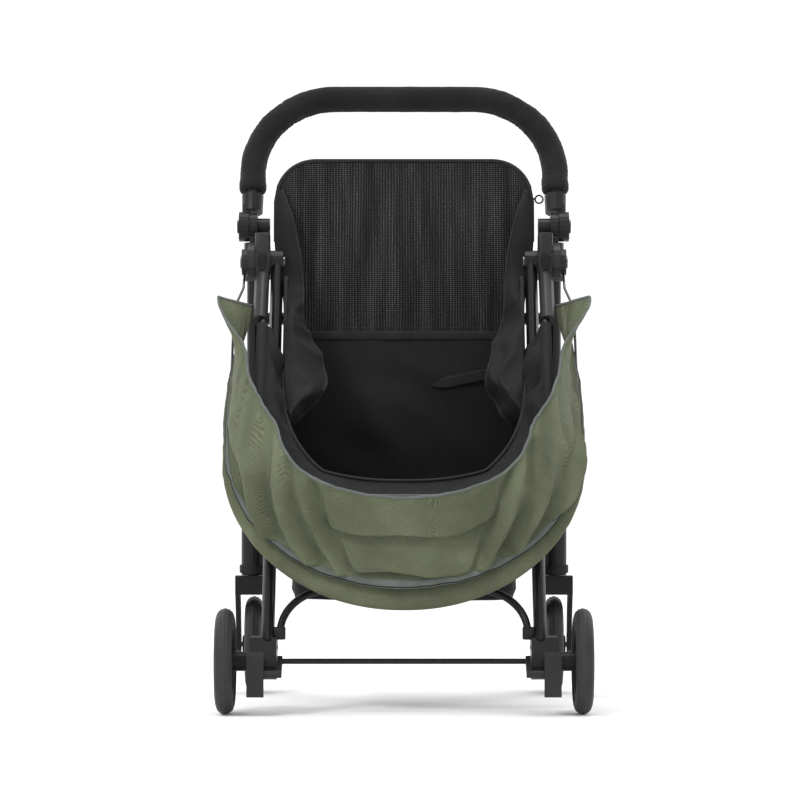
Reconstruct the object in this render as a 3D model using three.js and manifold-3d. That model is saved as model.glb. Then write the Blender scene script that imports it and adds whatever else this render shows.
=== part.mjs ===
// Pet stroller: a folding frame on two fixed and two swivelling wheels that carries an open fabric cabin.
// Millimetres, +Z up. The open (near) end of the cabin faces -Y and the push handle is at +Y.
// The origin is on the floor, midway between the axles and midway between the two sides.

import * as THREE from 'three';
import { mergeVertices } from 'three/addons/utils/BufferGeometryUtils.js';
import Module from 'manifold-3d';

const wasm = await Module();
wasm.setup();

// ---------------------------------------------------------------- driving dimensions

const GAP = 0.4;                  // left between pieces that touch
const RUNNING_GAP = 1;            // left between pieces that turn past each other

const WHEEL_RADIUS = 75;
const TYRE_WIDTH = 25;
const TYRE_DEPTH = 16;
const RIM_WIDTH = 20;
const RIM_DEPTH = 6;
const WHEEL_HUB_RADIUS = 14;
const SPOKES = 5;
const AXLE_RADIUS = 4;
const AXLE_HEAD = 3;
const WHEELBASE = 450;
const NEAR_TRACK = 506;
const FAR_TRACK = 466;
const CASTER_TRAIL = 35;

const FORK_INNER_GAP = 40;
const FORK_LEG = 7;
const FORK_DEPTH = 40;
const CROWN_HEIGHT = 29;
const CROWN_GAP = 4;
const STEM_RADIUS = 8;
const STEM_LENGTH = 42;

const TUBE_RADIUS = 12.5;
const TUBE_WALL = 1.8;
const TUBE_X = 230;
const CLAMP_WALL = 4.5;           // of the plastic pieces that grip an upright tube
const SOCKET_RADIUS = 18;
const SOCKET_HEIGHT = 84;
const SOCKET_GRIP = 32;           // how far a tube goes into its socket
const CROSS_RADIUS = 9.5;
const LOWER_CROSS_Z = 290;
const UPPER_CROSS_Z = 580;

const HUB_REACH = 75;             // from the upright tube forward to the folding hub
const HUB_Z = 662;
const HUB_RADIUS = 27;
const PLATE_RADIUS = 29;
const PLATE_X = [226.3, 237];
const PIN_RADIUS = 5;
const PIN_HEAD = 9;

const LEG_X = 193;
const LEG_WIDTH = 19;
const LEG_DEPTH = 30;
const LEG_EYE_RADIUS = 18;
const ARCH_RADIUS = 5.5;
const ARCH_DROP = 490;            // from the hub's height down to the arch
const ARCH_BEND = 70;

const BRACKET_X = [180, 218];
const BRACKET_RADIUS = 26;
const BRACKET_TOP = 34;           // above the axle
const BRAKE_ROD_RADIUS = 4;
const PEDAL_X = [197, 221];
const PEDAL_REACH = 37;           // from the brake rod forward to the pedal plate
const PEDAL_PLATE = 9;
const PEDAL_TOP = 15;             // above the brake rod
const PEDAL_BOTTOM = -48;
const CHEEK = 7;

const RIM_BAR_RADIUS = 6.5;
const RIM_BAR_X = 211;
const RIM_BAR_REACH = 502;        // from the hub to the middle of the bar
const RIM_BAR_BEND = 180;
const RIM_BAR_ANGLE = 44.2;       // from straight down, towards -Y
const RIM_SOCKET_RADIUS = 11.2;
const RIM_SOCKET_END = 130;
const RIM_BOX_X = [203.5, 226];
const LATCH_TRAVEL = 2;
const LATCH_DEPTH = 12;

const HANDLE_PIVOT_Z = 722;
const HANDLE_X = 234.6;
const HANDLE_RADIUS = 14;
const HANDLE_REACH = 219;
const HANDLE_BEND = 128;
const HANDLE_LEAN = 20;           // from upright, towards +Y
const GRIP_RADIUS = 21;
const GRIP_START = 58.5;
const KNUCKLE_RADIUS = 23;
const KNUCKLE_X = [239, 254.5];
const KNUCKLE_SOCKET_RADIUS = 17;
const KNUCKLE_SOCKET_END = 52;
const EYE_RADIUS = 21;
const EYE_X = [226, 238];
const BOSS_RADIUS = 13;
const BOSS_END = 207;
const BUTTON_RADIUS = 12;
const BUTTON_TRAVEL = 3;
const BUTTON_LENGTH = 10;

const CABIN_HALF_WIDTH = 180;
const CABIN_NEAR = -190;
const CABIN_BACK_GAP = 9.5;       // from the cabin to the upright tubes
const CABIN_CORNER = 168;
const CABIN_WALL = 5;
const CABIN_FLOOR_Z = 285;
const CABIN_BACK_Z = 545;
const PANEL_TOP_Z = 827;
const PANEL_HALF_WIDTH = 201;
const PANEL_LEAN = 6.5;
const PANEL_THICKNESS = 6;
const PANEL_CORNER = 50;
const BOARD_THICKNESS = 8;
const PAD_THICKNESS = 15;
const FLOOR_PIVOT_Y = 143;

const BASKET_HALF_WIDTH = 172;
const BASKET_NEAR = -38;
const BASKET_FAR = 150;
const BASKET_BOTTOM_Z = 150;
const BASKET_WALL = 4;

const HOOD_THICKNESS = 11;
const HOOD_START = 86;            // from the hub to the top of the hood's sides
const HOOD_INNER = { halfWidth: 233, reach: 511, corner: 186, angle: 46.6 };
const HOOD_OUTER = { halfWidth: 256, reach: 622, corner: 256, angle: 34.8 };
const BOW_RADIUS = 2;
const EAR_RADIUS = 20;
const EAR_X = [237.5, 246.5];

// ---------------------------------------------------------------- places worked out from them

const nearAxle = { y: -WHEELBASE / 2, z: WHEEL_RADIUS };
const farAxle = { y: WHEELBASE / 2, z: WHEEL_RADIUS };
const uprightY = farAxle.y - CASTER_TRAIL;
const hub = { y: uprightY - HUB_REACH, z: HUB_Z };
const crownBottom = 2 * WHEEL_RADIUS + CROWN_GAP;
const crownTop = crownBottom + CROWN_HEIGHT;
const socketBottom = crownTop + RUNNING_GAP;
const socketTop = socketBottom + SOCKET_HEIGHT;
const legAngle = Math.atan2(hub.y - nearAxle.y, hub.z - nearAxle.z - BRACKET_TOP * 0.7);
const mountTop = HANDLE_PIVOT_Z - KNUCKLE_RADIUS - 2 * RUNNING_GAP;
const clampTop = hub.z + 12;
const cabinFar = uprightY - TUBE_RADIUS - CABIN_BACK_GAP;
const panelBottom = CABIN_BACK_Z + GAP;
const radians = THREE.MathUtils.degToRad;

// ---------------------------------------------------------------- finishes

function finish(color, roughness, metalness = 0) {
  return new THREE.MeshStandardMaterial({ color, roughness, metalness });
}

const blackPaint = finish('#1d1e20', 0.42, 0.3);
const blackPlastic = finish('#26272a', 0.55);
const greyPlastic = finish('#3c3d40', 0.5);
const darkRubber = finish('#2b2b2c', 0.8);
const steel = finish('#77797c', 0.35, 0.9);
const blackFabric = finish('#17181a', 0.9);
const meshFabric = finish('#212224', 0.95);
const greenFabric = finish('#6f7b54', 0.92);
const foam = finish('#222225', 0.95);

// ---------------------------------------------------------------- shape helpers

function toSolid(geometry) {
  const plain = geometry.clone();
  plain.deleteAttribute('normal');
  plain.deleteAttribute('uv');
  const merged = mergeVertices(plain, 1e-4);
  return new wasm.Manifold(new wasm.Mesh({
    numProp: 3,
    vertProperties: new Float32Array(merged.attributes.position.array),
    triVerts: new Uint32Array(merged.index.array),
  }));
}

function toGeometry(solid) {
  const mesh = solid.getMesh();
  const geometry = new THREE.BufferGeometry();
  geometry.setAttribute('position', new THREE.BufferAttribute(mesh.vertProperties, 3));
  geometry.setIndex(new THREE.BufferAttribute(mesh.triVerts, 1));
  return geometry;
}

function join(...pieces) {
  return toGeometry(pieces.map(toSolid).reduce((whole, piece) => whole.add(piece)));
}

function cut(piece, ...tools) {
  return toGeometry(tools.map(toSolid).reduce((rest, tool) => rest.subtract(tool), toSolid(piece)));
}

function mirrored(geometry) {
  const copy = geometry.clone().scale(-1, 1, 1);
  const order = copy.index ? Array.from(copy.index.array) : [...Array(copy.attributes.position.count).keys()];
  for (let i = 0; i < order.length; i += 3) {
    [order[i], order[i + 1]] = [order[i + 1], order[i]];
  }
  copy.setIndex(order);
  return copy;
}

function ovalPoints(radiusX, radiusY, sides) {
  return Array.from({ length: sides }, (_, i) => {
    const turn = (2 * Math.PI * (i + 0.5)) / sides;
    return new THREE.Vector2(radiusX * Math.cos(turn), radiusY * Math.sin(turn));
  });
}

function box([x0, x1], [y0, y1], [z0, z1]) {
  const middle = [(x0 + x1) / 2, (y0 + y1) / 2, (z0 + z1) / 2];
  return new THREE.BoxGeometry(x1 - x0, y1 - y0, z1 - z0).translate(...middle);
}

function rodX(radius, [x0, x1], y, z, sides = 16) {
  const rod = new THREE.CylinderGeometry(radius, radius, x1 - x0, sides);
  return rod.rotateZ(Math.PI / 2).translate((x0 + x1) / 2, y, z);
}

function rodZ(radius, x, y, [z0, z1], sides = 16) {
  const rod = new THREE.CylinderGeometry(radius, radius, z1 - z0, sides);
  return rod.rotateX(Math.PI / 2).translate(x, y, (z0 + z1) / 2);
}

// A slab whose outline is given in (y, z), between two x values.
function slabX(outline, [x0, x1]) {
  const shape = new THREE.Shape(outline.map(([y, z]) => new THREE.Vector2(y, z)));
  const slab = new THREE.ExtrudeGeometry(shape, { depth: x1 - x0, bevelEnabled: false });
  const turn = new THREE.Matrix4().set(0, 0, 1, x0, 1, 0, 0, 0, 0, 1, 0, 0, 0, 0, 0, 1);
  return slab.applyMatrix4(turn);
}

// The link between two round ends, as a slab in (y, z).
function linkX(from, to, radiusFrom, radiusTo, span) {
  const heading = Math.atan2(to.z - from.z, to.y - from.y);
  const outline = [];
  for (const [centre, radius, start] of [[from, radiusFrom, heading + Math.PI / 2], [to, radiusTo, heading - Math.PI / 2]]) {
    for (let i = 0; i <= 8; i += 1) {
      const turn = start + (Math.PI * i) / 8;
      outline.push([centre.y + radius * Math.cos(turn), centre.z + radius * Math.sin(turn)]);
    }
  }
  return slabX(outline, span);
}

// A U in its own plane: up one arm at -halfWidth, across at z = reach and down the other arm.
function bowCurve({ halfWidth, start, reach, corner }, count) {
  const path = new THREE.Path();
  path.moveTo(-halfWidth, start);
  path.lineTo(-halfWidth, reach - corner);
  path.absarc(-halfWidth + corner, reach - corner, corner, Math.PI, Math.PI / 2, true);
  path.lineTo(halfWidth - corner, reach);
  path.absarc(halfWidth - corner, reach - corner, corner, Math.PI / 2, 0, true);
  path.lineTo(halfWidth, start);
  return new THREE.CatmullRomCurve3(path.getSpacedPoints(count).map((p) => new THREE.Vector3(p.x, 0, p.y)));
}

function sweep(curve, radius, steps, sides, boreRadius = 0) {
  const section = new THREE.Shape(ovalPoints(radius, radius, sides));
  if (boreRadius > 0) {
    section.holes.push(new THREE.Path(ovalPoints(boreRadius, boreRadius, sides).reverse()));
  }
  return new THREE.ExtrudeGeometry(section, { steps, extrudePath: curve, bevelEnabled: false });
}

// Turns a shape drawn along +Z so that it points away from the hub, `angle` off straight down towards -Y.
function fromHub(geometry, angle) {
  return geometry.rotateX(Math.PI - angle).translate(0, hub.y, hub.z);
}

function fromHandlePivot(geometry) {
  return geometry.rotateX(-radians(HANDLE_LEAN)).translate(0, uprightY, HANDLE_PIVOT_Z);
}

function hubPoint(x, distance, angle) {
  return new THREE.Vector3(x, hub.y - distance * Math.sin(angle), hub.z - distance * Math.cos(angle));
}

// A closed skin over a row of matching sections, each a convex ring of points.
function loft(sections) {
  const ring = sections[0].length;
  const last = (sections.length - 1) * ring;
  const index = [];
  for (let i = 0; i < sections.length - 1; i += 1) {
    for (let j = 0; j < ring; j += 1) {
      const a = i * ring + j;
      const b = i * ring + ((j + 1) % ring);
      index.push(a, b, b + ring, a, b + ring, a + ring);
    }
  }
  for (let j = 1; j < ring - 1; j += 1) {
    index.push(0, j + 1, j, last, last + j, last + j + 1);
  }
  const geometry = new THREE.BufferGeometry().setFromPoints(sections.flat());
  geometry.setIndex(index);
  return geometry;
}

// ---------------------------------------------------------------- assembly

const stroller = new THREE.Group();

function add(name, geometry, material, x = 0, y = 0, z = 0) {
  const mesh = new THREE.Mesh(geometry, material);
  mesh.name = name;
  mesh.position.set(x, y, z);
  stroller.add(mesh);
}

// One piece on each side, drawn for the +X side.
function addPair(name, geometry, material) {
  add(`${name}_r`, geometry, material);
  add(`${name}_l`, mirrored(geometry), material);
}

const sides = [['r', 1], ['l', -1]];

// ---------------------------------------------------------------- wheels

function tyreGeometry() {
  const inner = WHEEL_RADIUS - TYRE_DEPTH;
  const half = TYRE_WIDTH / 2;
  const shoulder = WHEEL_RADIUS - half;
  const profile = [new THREE.Vector2(inner, -half)];
  for (let i = 0; i <= 4; i += 1) {
    const turn = -Math.PI / 2 + (Math.PI * i) / 4;
    profile.push(new THREE.Vector2(shoulder + half * Math.cos(turn), half * Math.sin(turn)));
  }
  profile.push(new THREE.Vector2(inner, half), new THREE.Vector2(inner, -half));
  return new THREE.LatheGeometry(profile, 28).rotateZ(Math.PI / 2);
}

// hubSpan is the hub's two ends, from the wheel's middle.
function rimGeometry(hubSpan) {
  const outer = WHEEL_RADIUS - TYRE_DEPTH - GAP;
  const inner = outer - RIM_DEPTH;
  const half = RIM_WIDTH / 2;
  const hoop = cut(rodX(outer, [-half, half], 0, 0, 28), rodX(inner, [-half - 1, half + 1], 0, 0, 28));
  const spokeSpan = [WHEEL_HUB_RADIUS * 0.6, inner + RIM_DEPTH / 2];
  const spokes = Array.from({ length: SPOKES }, (_, i) => {
    const spoke = box([-half * 0.5, half * 0.5], [-7, 7], spokeSpan);
    return spoke.rotateX((2 * Math.PI * i) / SPOKES);
  });
  const whole = join(hoop, rodX(WHEEL_HUB_RADIUS, hubSpan, 0, 0, 20), ...spokes);
  return cut(whole, rodX(AXLE_RADIUS + GAP, [hubSpan[0] - 1, hubSpan[1] + 1], 0, 0, 16));
}

function addWheels() {
  const nearHub = [BRACKET_X[1] + 4 - NEAR_TRACK / 2, TYRE_WIDTH / 2];
  const farHub = [-FORK_INNER_GAP / 2 + 2, FORK_INNER_GAP / 2 - 2];
  for (const [side, sign] of sides) {
    const nearRim = rimGeometry(nearHub);
    add(`near_tyre_${side}`, tyreGeometry(), darkRubber, (sign * NEAR_TRACK) / 2, nearAxle.y, nearAxle.z);
    add(`near_rim_${side}`, sign > 0 ? nearRim : mirrored(nearRim), blackPlastic,
      (sign * NEAR_TRACK) / 2, nearAxle.y, nearAxle.z);
    add(`far_tyre_${side}`, tyreGeometry(), darkRubber, (sign * FAR_TRACK) / 2, farAxle.y, farAxle.z);
    add(`far_rim_${side}`, rimGeometry(farHub), blackPlastic, (sign * FAR_TRACK) / 2, farAxle.y, farAxle.z);
  }
}

// ---------------------------------------------------------------- swivelling forks

function forkGeometry() {
  const outer = FORK_INNER_GAP / 2 + FORK_LEG;
  const half = FORK_DEPTH / 2;
  const crown = box([-outer, outer], [-half, half], [crownBottom, crownTop]);
  const stem = rodZ(STEM_RADIUS, 0, 0, [crownTop - 1, crownTop + STEM_LENGTH], 12);
  const top = { y: 0, z: crownBottom + 10 };
  const foot = { y: CASTER_TRAIL, z: WHEEL_RADIUS };
  const legs = [-1, 1].map((sign) => {
    const span = [FORK_INNER_GAP / 2, outer].map((x) => x * sign).sort((a, b) => a - b);
    return linkX(top, foot, half - 2, 12, span);
  });
  const axleHole = rodX(AXLE_RADIUS + GAP, [-outer - 1, outer + 1], CASTER_TRAIL, WHEEL_RADIUS, 12);
  return cut(join(crown, stem, ...legs), axleHole);
}

function farAxleGeometry() {
  const outer = FORK_INNER_GAP / 2 + FORK_LEG + GAP;
  const heads = [[-outer - AXLE_HEAD, -outer], [outer, outer + AXLE_HEAD]];
  const shaft = rodX(AXLE_RADIUS, [-outer - 1, outer + 1], 0, 0, 12);
  return join(shaft, ...heads.map((span) => rodX(7, span, 0, 0, 16)));
}

function addForks() {
  for (const [side, sign] of sides) {
    add(`caster_fork_${side}`, forkGeometry(), blackPlastic, (sign * FAR_TRACK) / 2, uprightY, 0);
    add(`far_axle_${side}`, farAxleGeometry(), steel, (sign * FAR_TRACK) / 2, farAxle.y, farAxle.z);
  }
}

// ---------------------------------------------------------------- upright frame

function addUprights() {
  const bottom = socketTop - SOCKET_GRIP;
  const top = mountTop - GAP - 3;
  const tubeHole = (z0, z1) => rodZ(TUBE_RADIUS + GAP, TUBE_X, uprightY, [z0, z1]);
  const bore = rodZ(TUBE_RADIUS - TUBE_WALL, TUBE_X, uprightY, [bottom - 1, top + 1]);
  addPair('upright_tube', cut(rodZ(TUBE_RADIUS, TUBE_X, uprightY, [bottom, top]), bore), blackPaint);

  const socket = join(
    rodZ(SOCKET_RADIUS, FAR_TRACK / 2, uprightY, [socketBottom, socketTop], 20),
    rodZ(SOCKET_RADIUS + 2, FAR_TRACK / 2, uprightY, [socketBottom + 3, socketBottom + 16], 20),
  );
  const stemHole = rodZ(STEM_RADIUS + GAP, FAR_TRACK / 2, uprightY, [socketBottom - 1, crownTop + STEM_LENGTH + 1]);
  addPair('caster_socket', cut(socket, tubeHole(bottom - GAP, socketTop + 1), stemHole), blackPlastic);

  for (const [name, z] of [['lower_cross_tube', LOWER_CROSS_Z], ['upper_cross_tube', UPPER_CROSS_Z]]) {
    const holes = sides.map(([, sign]) => rodZ(TUBE_RADIUS + GAP, sign * TUBE_X, uprightY, [z - 30, z + 30]));
    const bar = rodX(CROSS_RADIUS, [-TUBE_X, TUBE_X], uprightY, z, 12);
    const inside = rodX(CROSS_RADIUS - TUBE_WALL, [-TUBE_X - 1, TUBE_X + 1], uprightY, z, 12);
    const blocks = sides.map(([, sign]) => {
      const span = [sign * (TUBE_X - TUBE_RADIUS * 0.5), sign * (TUBE_X + 60)].sort((a, b) => a - b);
      return box(span, [uprightY - 40, uprightY + 40], [z - 30, z + 30]);
    });
    add(name, cut(bar, inside, ...holes, ...blocks), blackPaint);
  }

  const plate = join(
    rodX(PLATE_RADIUS, PLATE_X, hub.y, hub.z, 20),
    box(PLATE_X, [hub.y, uprightY], [hub.z - 18, hub.z + 8]),
    rodZ(TUBE_RADIUS + CLAMP_WALL, TUBE_X, uprightY, [hub.z - 24, clampTop], 20),
  );
  const pinHole = rodX(PIN_RADIUS + GAP, [PLATE_X[0] - 1, PLATE_X[1] + 1], hub.y, hub.z, 12);
  addPair('hub_plate', cut(plate, pinHole, tubeHole(hub.z - 30, hub.z + 30)), greyPlastic);

  const pin = join(
    rodX(PIN_RADIUS, [LEG_X - LEG_WIDTH / 2 - 1, EAR_X[1] + 1], hub.y, hub.z, 12),
    rodX(PIN_HEAD, [LEG_X - LEG_WIDTH / 2 - 2.4, LEG_X - LEG_WIDTH / 2 - GAP], hub.y, hub.z, 12),
    rodX(PIN_HEAD, [EAR_X[1] + GAP, EAR_X[1] + 2.4], hub.y, hub.z, 12),
  );
  addPair('hub_pin', pin, steel);
}

// ---------------------------------------------------------------- folding push handle

function addHandle() {
  const mount = join(
    rodZ(TUBE_RADIUS + CLAMP_WALL, TUBE_X, uprightY, [clampTop + RUNNING_GAP, mountTop], 20),
    rodX(EYE_RADIUS, EYE_X, uprightY, HANDLE_PIVOT_Z, 20),
    box(EYE_X, [uprightY - 14, uprightY + 14], [mountTop - 4, HANDLE_PIVOT_Z]),
    rodX(BOSS_RADIUS, [BOSS_END, EYE_X[0] + 1], uprightY, HANDLE_PIVOT_Z, 18),
  );
  const tubeEnd = rodZ(TUBE_RADIUS + GAP, TUBE_X, uprightY, [hub.z, mountTop - 3]);
  const mountHole = rodX(PIN_RADIUS + GAP, [BOSS_END - 1, EYE_X[1] + 1], uprightY, HANDLE_PIVOT_Z, 12);
  addPair('handle_mount', cut(mount, tubeEnd, mountHole), blackPlastic);

  const pocketFloor = KNUCKLE_X[1] + BUTTON_TRAVEL - BUTTON_LENGTH - BUTTON_TRAVEL - 0.5;
  const holder = new THREE.CylinderGeometry(KNUCKLE_SOCKET_RADIUS, KNUCKLE_SOCKET_RADIUS - 1,
    KNUCKLE_SOCKET_END - EYE_RADIUS - 3, 18);
  holder.rotateX(Math.PI / 2).translate(HANDLE_X, 0, (KNUCKLE_SOCKET_END + EYE_RADIUS + 3) / 2);
  const knuckle = join(rodX(KNUCKLE_RADIUS, KNUCKLE_X, 0, 0, 20), holder,
    box([KNUCKLE_X[0], KNUCKLE_X[0] + 10], [-12, 12], [0, EYE_RADIUS + 12]));
  const knuckleCut = cut(knuckle,
    rodZ(HANDLE_RADIUS + GAP, HANDLE_X, 0, [EYE_RADIUS + 8, KNUCKLE_SOCKET_END + 1]),
    rodX(BUTTON_RADIUS + GAP, [pocketFloor, KNUCKLE_X[1] + 1], 0, 0, 18),
    rodX(PIN_RADIUS + GAP, [KNUCKLE_X[0] - 1, KNUCKLE_X[1]], 0, 0, 16));
  addPair('handle_knuckle', fromHandlePivot(knuckleCut), blackPlastic);

  const buttonStart = pocketFloor + BUTTON_TRAVEL + 0.5;
  const button = join(
    rodX(BUTTON_RADIUS, [buttonStart, buttonStart + BUTTON_LENGTH - 2], 0, 0, 18),
    rodX(BUTTON_RADIUS - 2, [buttonStart + 1, buttonStart + BUTTON_LENGTH], 0, 0, 18),
  );
  addPair('handle_button', fromHandlePivot(button), greyPlastic);
  addPair('handle_pin', rodX(PIN_RADIUS, [BOSS_END + 1, pocketFloor - GAP], uprightY, HANDLE_PIVOT_Z, 12), steel);

  const tubeShape = { halfWidth: HANDLE_X, start: EYE_RADIUS + 9, reach: HANDLE_REACH, corner: HANDLE_BEND };
  const tube = sweep(bowCurve(tubeShape, 30), HANDLE_RADIUS, 30, 8, HANDLE_RADIUS - TUBE_WALL);
  add('handle_tube', fromHandlePivot(tube), blackPaint);
  const gripShape = { ...tubeShape, start: GRIP_START };
  const grip = sweep(bowCurve(gripShape, 28), GRIP_RADIUS, 28, 10, HANDLE_RADIUS + 1.2);
  add('grip_cover', fromHandlePivot(grip), foam);
}

// ---------------------------------------------------------------- near legs, brackets and brake

function addNearFrame() {
  const legLength = (hub.z - nearAxle.z - BRACKET_TOP * 0.7) / Math.cos(legAngle);
  const section = new THREE.Shape(ovalPoints(LEG_WIDTH / 2, LEG_DEPTH / 2, 16));
  const hollow = ovalPoints(LEG_WIDTH / 2 - TUBE_WALL, LEG_DEPTH / 2 - TUBE_WALL, 16).reverse();
  section.holes.push(new THREE.Path(hollow));
  const tube = new THREE.ExtrudeGeometry(section, { depth: legLength, bevelEnabled: false });
  const legX = [LEG_X - LEG_WIDTH / 2, LEG_X + LEG_WIDTH / 2];
  const leg = join(fromHub(tube.translate(LEG_X, 0, 0), legAngle), rodX(LEG_EYE_RADIUS, legX, hub.y, hub.z, 24));
  const legHole = rodX(PIN_RADIUS + GAP, [legX[0] - 1, legX[1] + 1], hub.y, hub.z, 12);
  addPair('near_leg', cut(leg, legHole), blackPaint);

  const wideSection = new THREE.Shape(ovalPoints(LEG_WIDTH / 2 + GAP, LEG_DEPTH / 2 + GAP, 16));
  const pocket = new THREE.ExtrudeGeometry(wideSection, { depth: 80, bevelEnabled: false });
  pocket.translate(LEG_X, 0, legLength - 80 + GAP);
  const top = { y: nearAxle.y + BRACKET_TOP * Math.tan(legAngle), z: nearAxle.z + BRACKET_TOP };
  const bracket = linkX(nearAxle, top, BRACKET_RADIUS, BRACKET_RADIUS - 2, BRACKET_X);
  const above = box([BRACKET_X[0] - 1, BRACKET_X[1] + 1], [top.y - 60, top.y + 60], [top.z, top.z + 60]);
  const axleHole = rodX(AXLE_RADIUS + GAP, [BRACKET_X[0] + 3, BRACKET_X[1] + 1], nearAxle.y, nearAxle.z, 12);
  addPair('wheel_bracket', cut(bracket, fromHub(pocket, legAngle), above, axleHole), blackPlastic);

  const wheelOuter = (NEAR_TRACK + TYRE_WIDTH) / 2 + GAP;
  const axle = join(
    rodX(AXLE_RADIUS, [BRACKET_X[0] + 3 + GAP, wheelOuter + 1], nearAxle.y, nearAxle.z, 12),
    rodX(8, [wheelOuter, wheelOuter + AXLE_HEAD], nearAxle.y, nearAxle.z, 20),
  );
  addPair('near_axle', axle, steel);

  const archTop = ARCH_DROP / Math.cos(legAngle);
  const archEnd = (hub.z - top.z - 8) / Math.cos(legAngle);
  const halfWidth = LEG_X - LEG_WIDTH / 2 - ARCH_RADIUS - 2;
  const archShape = { halfWidth, start: 0, reach: archEnd - archTop, corner: ARCH_BEND };
  const arch = sweep(bowCurve(archShape, 24), ARCH_RADIUS, 24, 8).rotateY(Math.PI).translate(0, 0, archEnd);
  add('arch_brace', fromHub(arch, legAngle), blackPaint);

  const rodEnd = BRACKET_X[0] - GAP - CHEEK / 2;
  add('brake_rod', rodX(BRAKE_ROD_RADIUS, [-rodEnd, rodEnd], nearAxle.y, nearAxle.z, 12), blackPaint);
  const front = { y: nearAxle.y - PEDAL_REACH, z: nearAxle.z - 16 };
  const cheek = [BRACKET_X[0] - RUNNING_GAP - CHEEK, BRACKET_X[0] - RUNNING_GAP];
  const plateY = [front.y - PEDAL_PLATE / 2, front.y + PEDAL_PLATE / 2];
  const pedal = join(
    linkX(nearAxle, front, 8, 5.5, cheek),
    rodX(5.5, [cheek[0] + 1, PEDAL_X[0] + 2], front.y, front.z, 12),
    slabX([
      [plateY[1], nearAxle.z + PEDAL_TOP - 3],
      [plateY[0] + 4, nearAxle.z + PEDAL_TOP],
      [plateY[0], nearAxle.z + PEDAL_TOP - 6],
      [plateY[0] - 6, nearAxle.z + PEDAL_BOTTOM],
      [plateY[1] - 4, nearAxle.z + PEDAL_BOTTOM],
    ], PEDAL_X),
  );
  const rodHole = rodX(BRAKE_ROD_RADIUS + GAP, [cheek[0] - 1, rodEnd + GAP], nearAxle.y, nearAxle.z, 12);
  addPair('brake_pedal', cut(pedal, rodHole), greyPlastic);
}

// ---------------------------------------------------------------- rim bar of the cabin mouth

function addRimBar() {
  const angle = radians(RIM_BAR_ANGLE);
  const shape = { halfWidth: RIM_BAR_X, start: HUB_RADIUS + 20, reach: RIM_BAR_REACH, corner: RIM_BAR_BEND };
  add('rim_bar', fromHub(sweep(bowCurve(shape, 32), RIM_BAR_RADIUS, 32, 8), angle), blackPaint);

  const socketX = (RIM_BOX_X[0] + RIM_BOX_X[1]) / 2;
  const socket = rodZ(RIM_SOCKET_RADIUS, socketX, 0, [HUB_RADIUS - 8, RIM_SOCKET_END], 18);
  const barHole = rodZ(RIM_BAR_RADIUS + GAP, RIM_BAR_X, 0, [HUB_RADIUS + 19, RIM_SOCKET_END + 1], 20);
  const latchX = [RIM_BOX_X[0] + 5, RIM_BOX_X[1] - 5];
  const latchZ = [hub.z - 10, hub.z + 10];
  const latchFront = hub.y - HUB_RADIUS - 3;
  const boxPiece = cut(
    join(rodX(HUB_RADIUS, RIM_BOX_X, hub.y, hub.z, 20), fromHub(socket, angle)),
    fromHub(barHole, angle),
    rodX(PIN_RADIUS + GAP, [RIM_BOX_X[0] - 1, RIM_BOX_X[1] + 1], hub.y, hub.z, 12),
    box([latchX[0] - GAP, latchX[1] + GAP], [latchFront - 20, latchFront + LATCH_DEPTH + LATCH_TRAVEL + 0.5],
      [latchZ[0] - GAP, latchZ[1] + GAP]),
  );
  addPair('rim_bar_socket', boxPiece, greyPlastic);
  addPair('rim_latch', box(latchX, [latchFront, latchFront + LATCH_DEPTH], latchZ), blackPlastic);
}

// ---------------------------------------------------------------- cabin, back panel, floor and basket

// The cabin's plan: square at the back and round at the mouth, `inset` inside its outer line.
function cabinPlan(inset, far) {
  const half = CABIN_HALF_WIDTH - inset;
  const corner = CABIN_CORNER - inset;
  const near = CABIN_NEAR + inset;
  const shape = new THREE.Shape();
  shape.moveTo(half, far);
  shape.lineTo(-half, far);
  shape.lineTo(-half, near + corner);
  shape.absarc(-half + corner, near + corner, corner, Math.PI, 1.5 * Math.PI, false);
  shape.lineTo(half - corner, near);
  shape.absarc(half - corner, near + corner, corner, 1.5 * Math.PI, 2 * Math.PI, false);
  return shape;
}

function cabinPrism(inset, far, [z0, z1]) {
  const options = { depth: z1 - z0, bevelEnabled: false, curveSegments: 8 };
  return new THREE.ExtrudeGeometry(cabinPlan(inset, far), options).translate(0, 0, z0);
}

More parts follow.
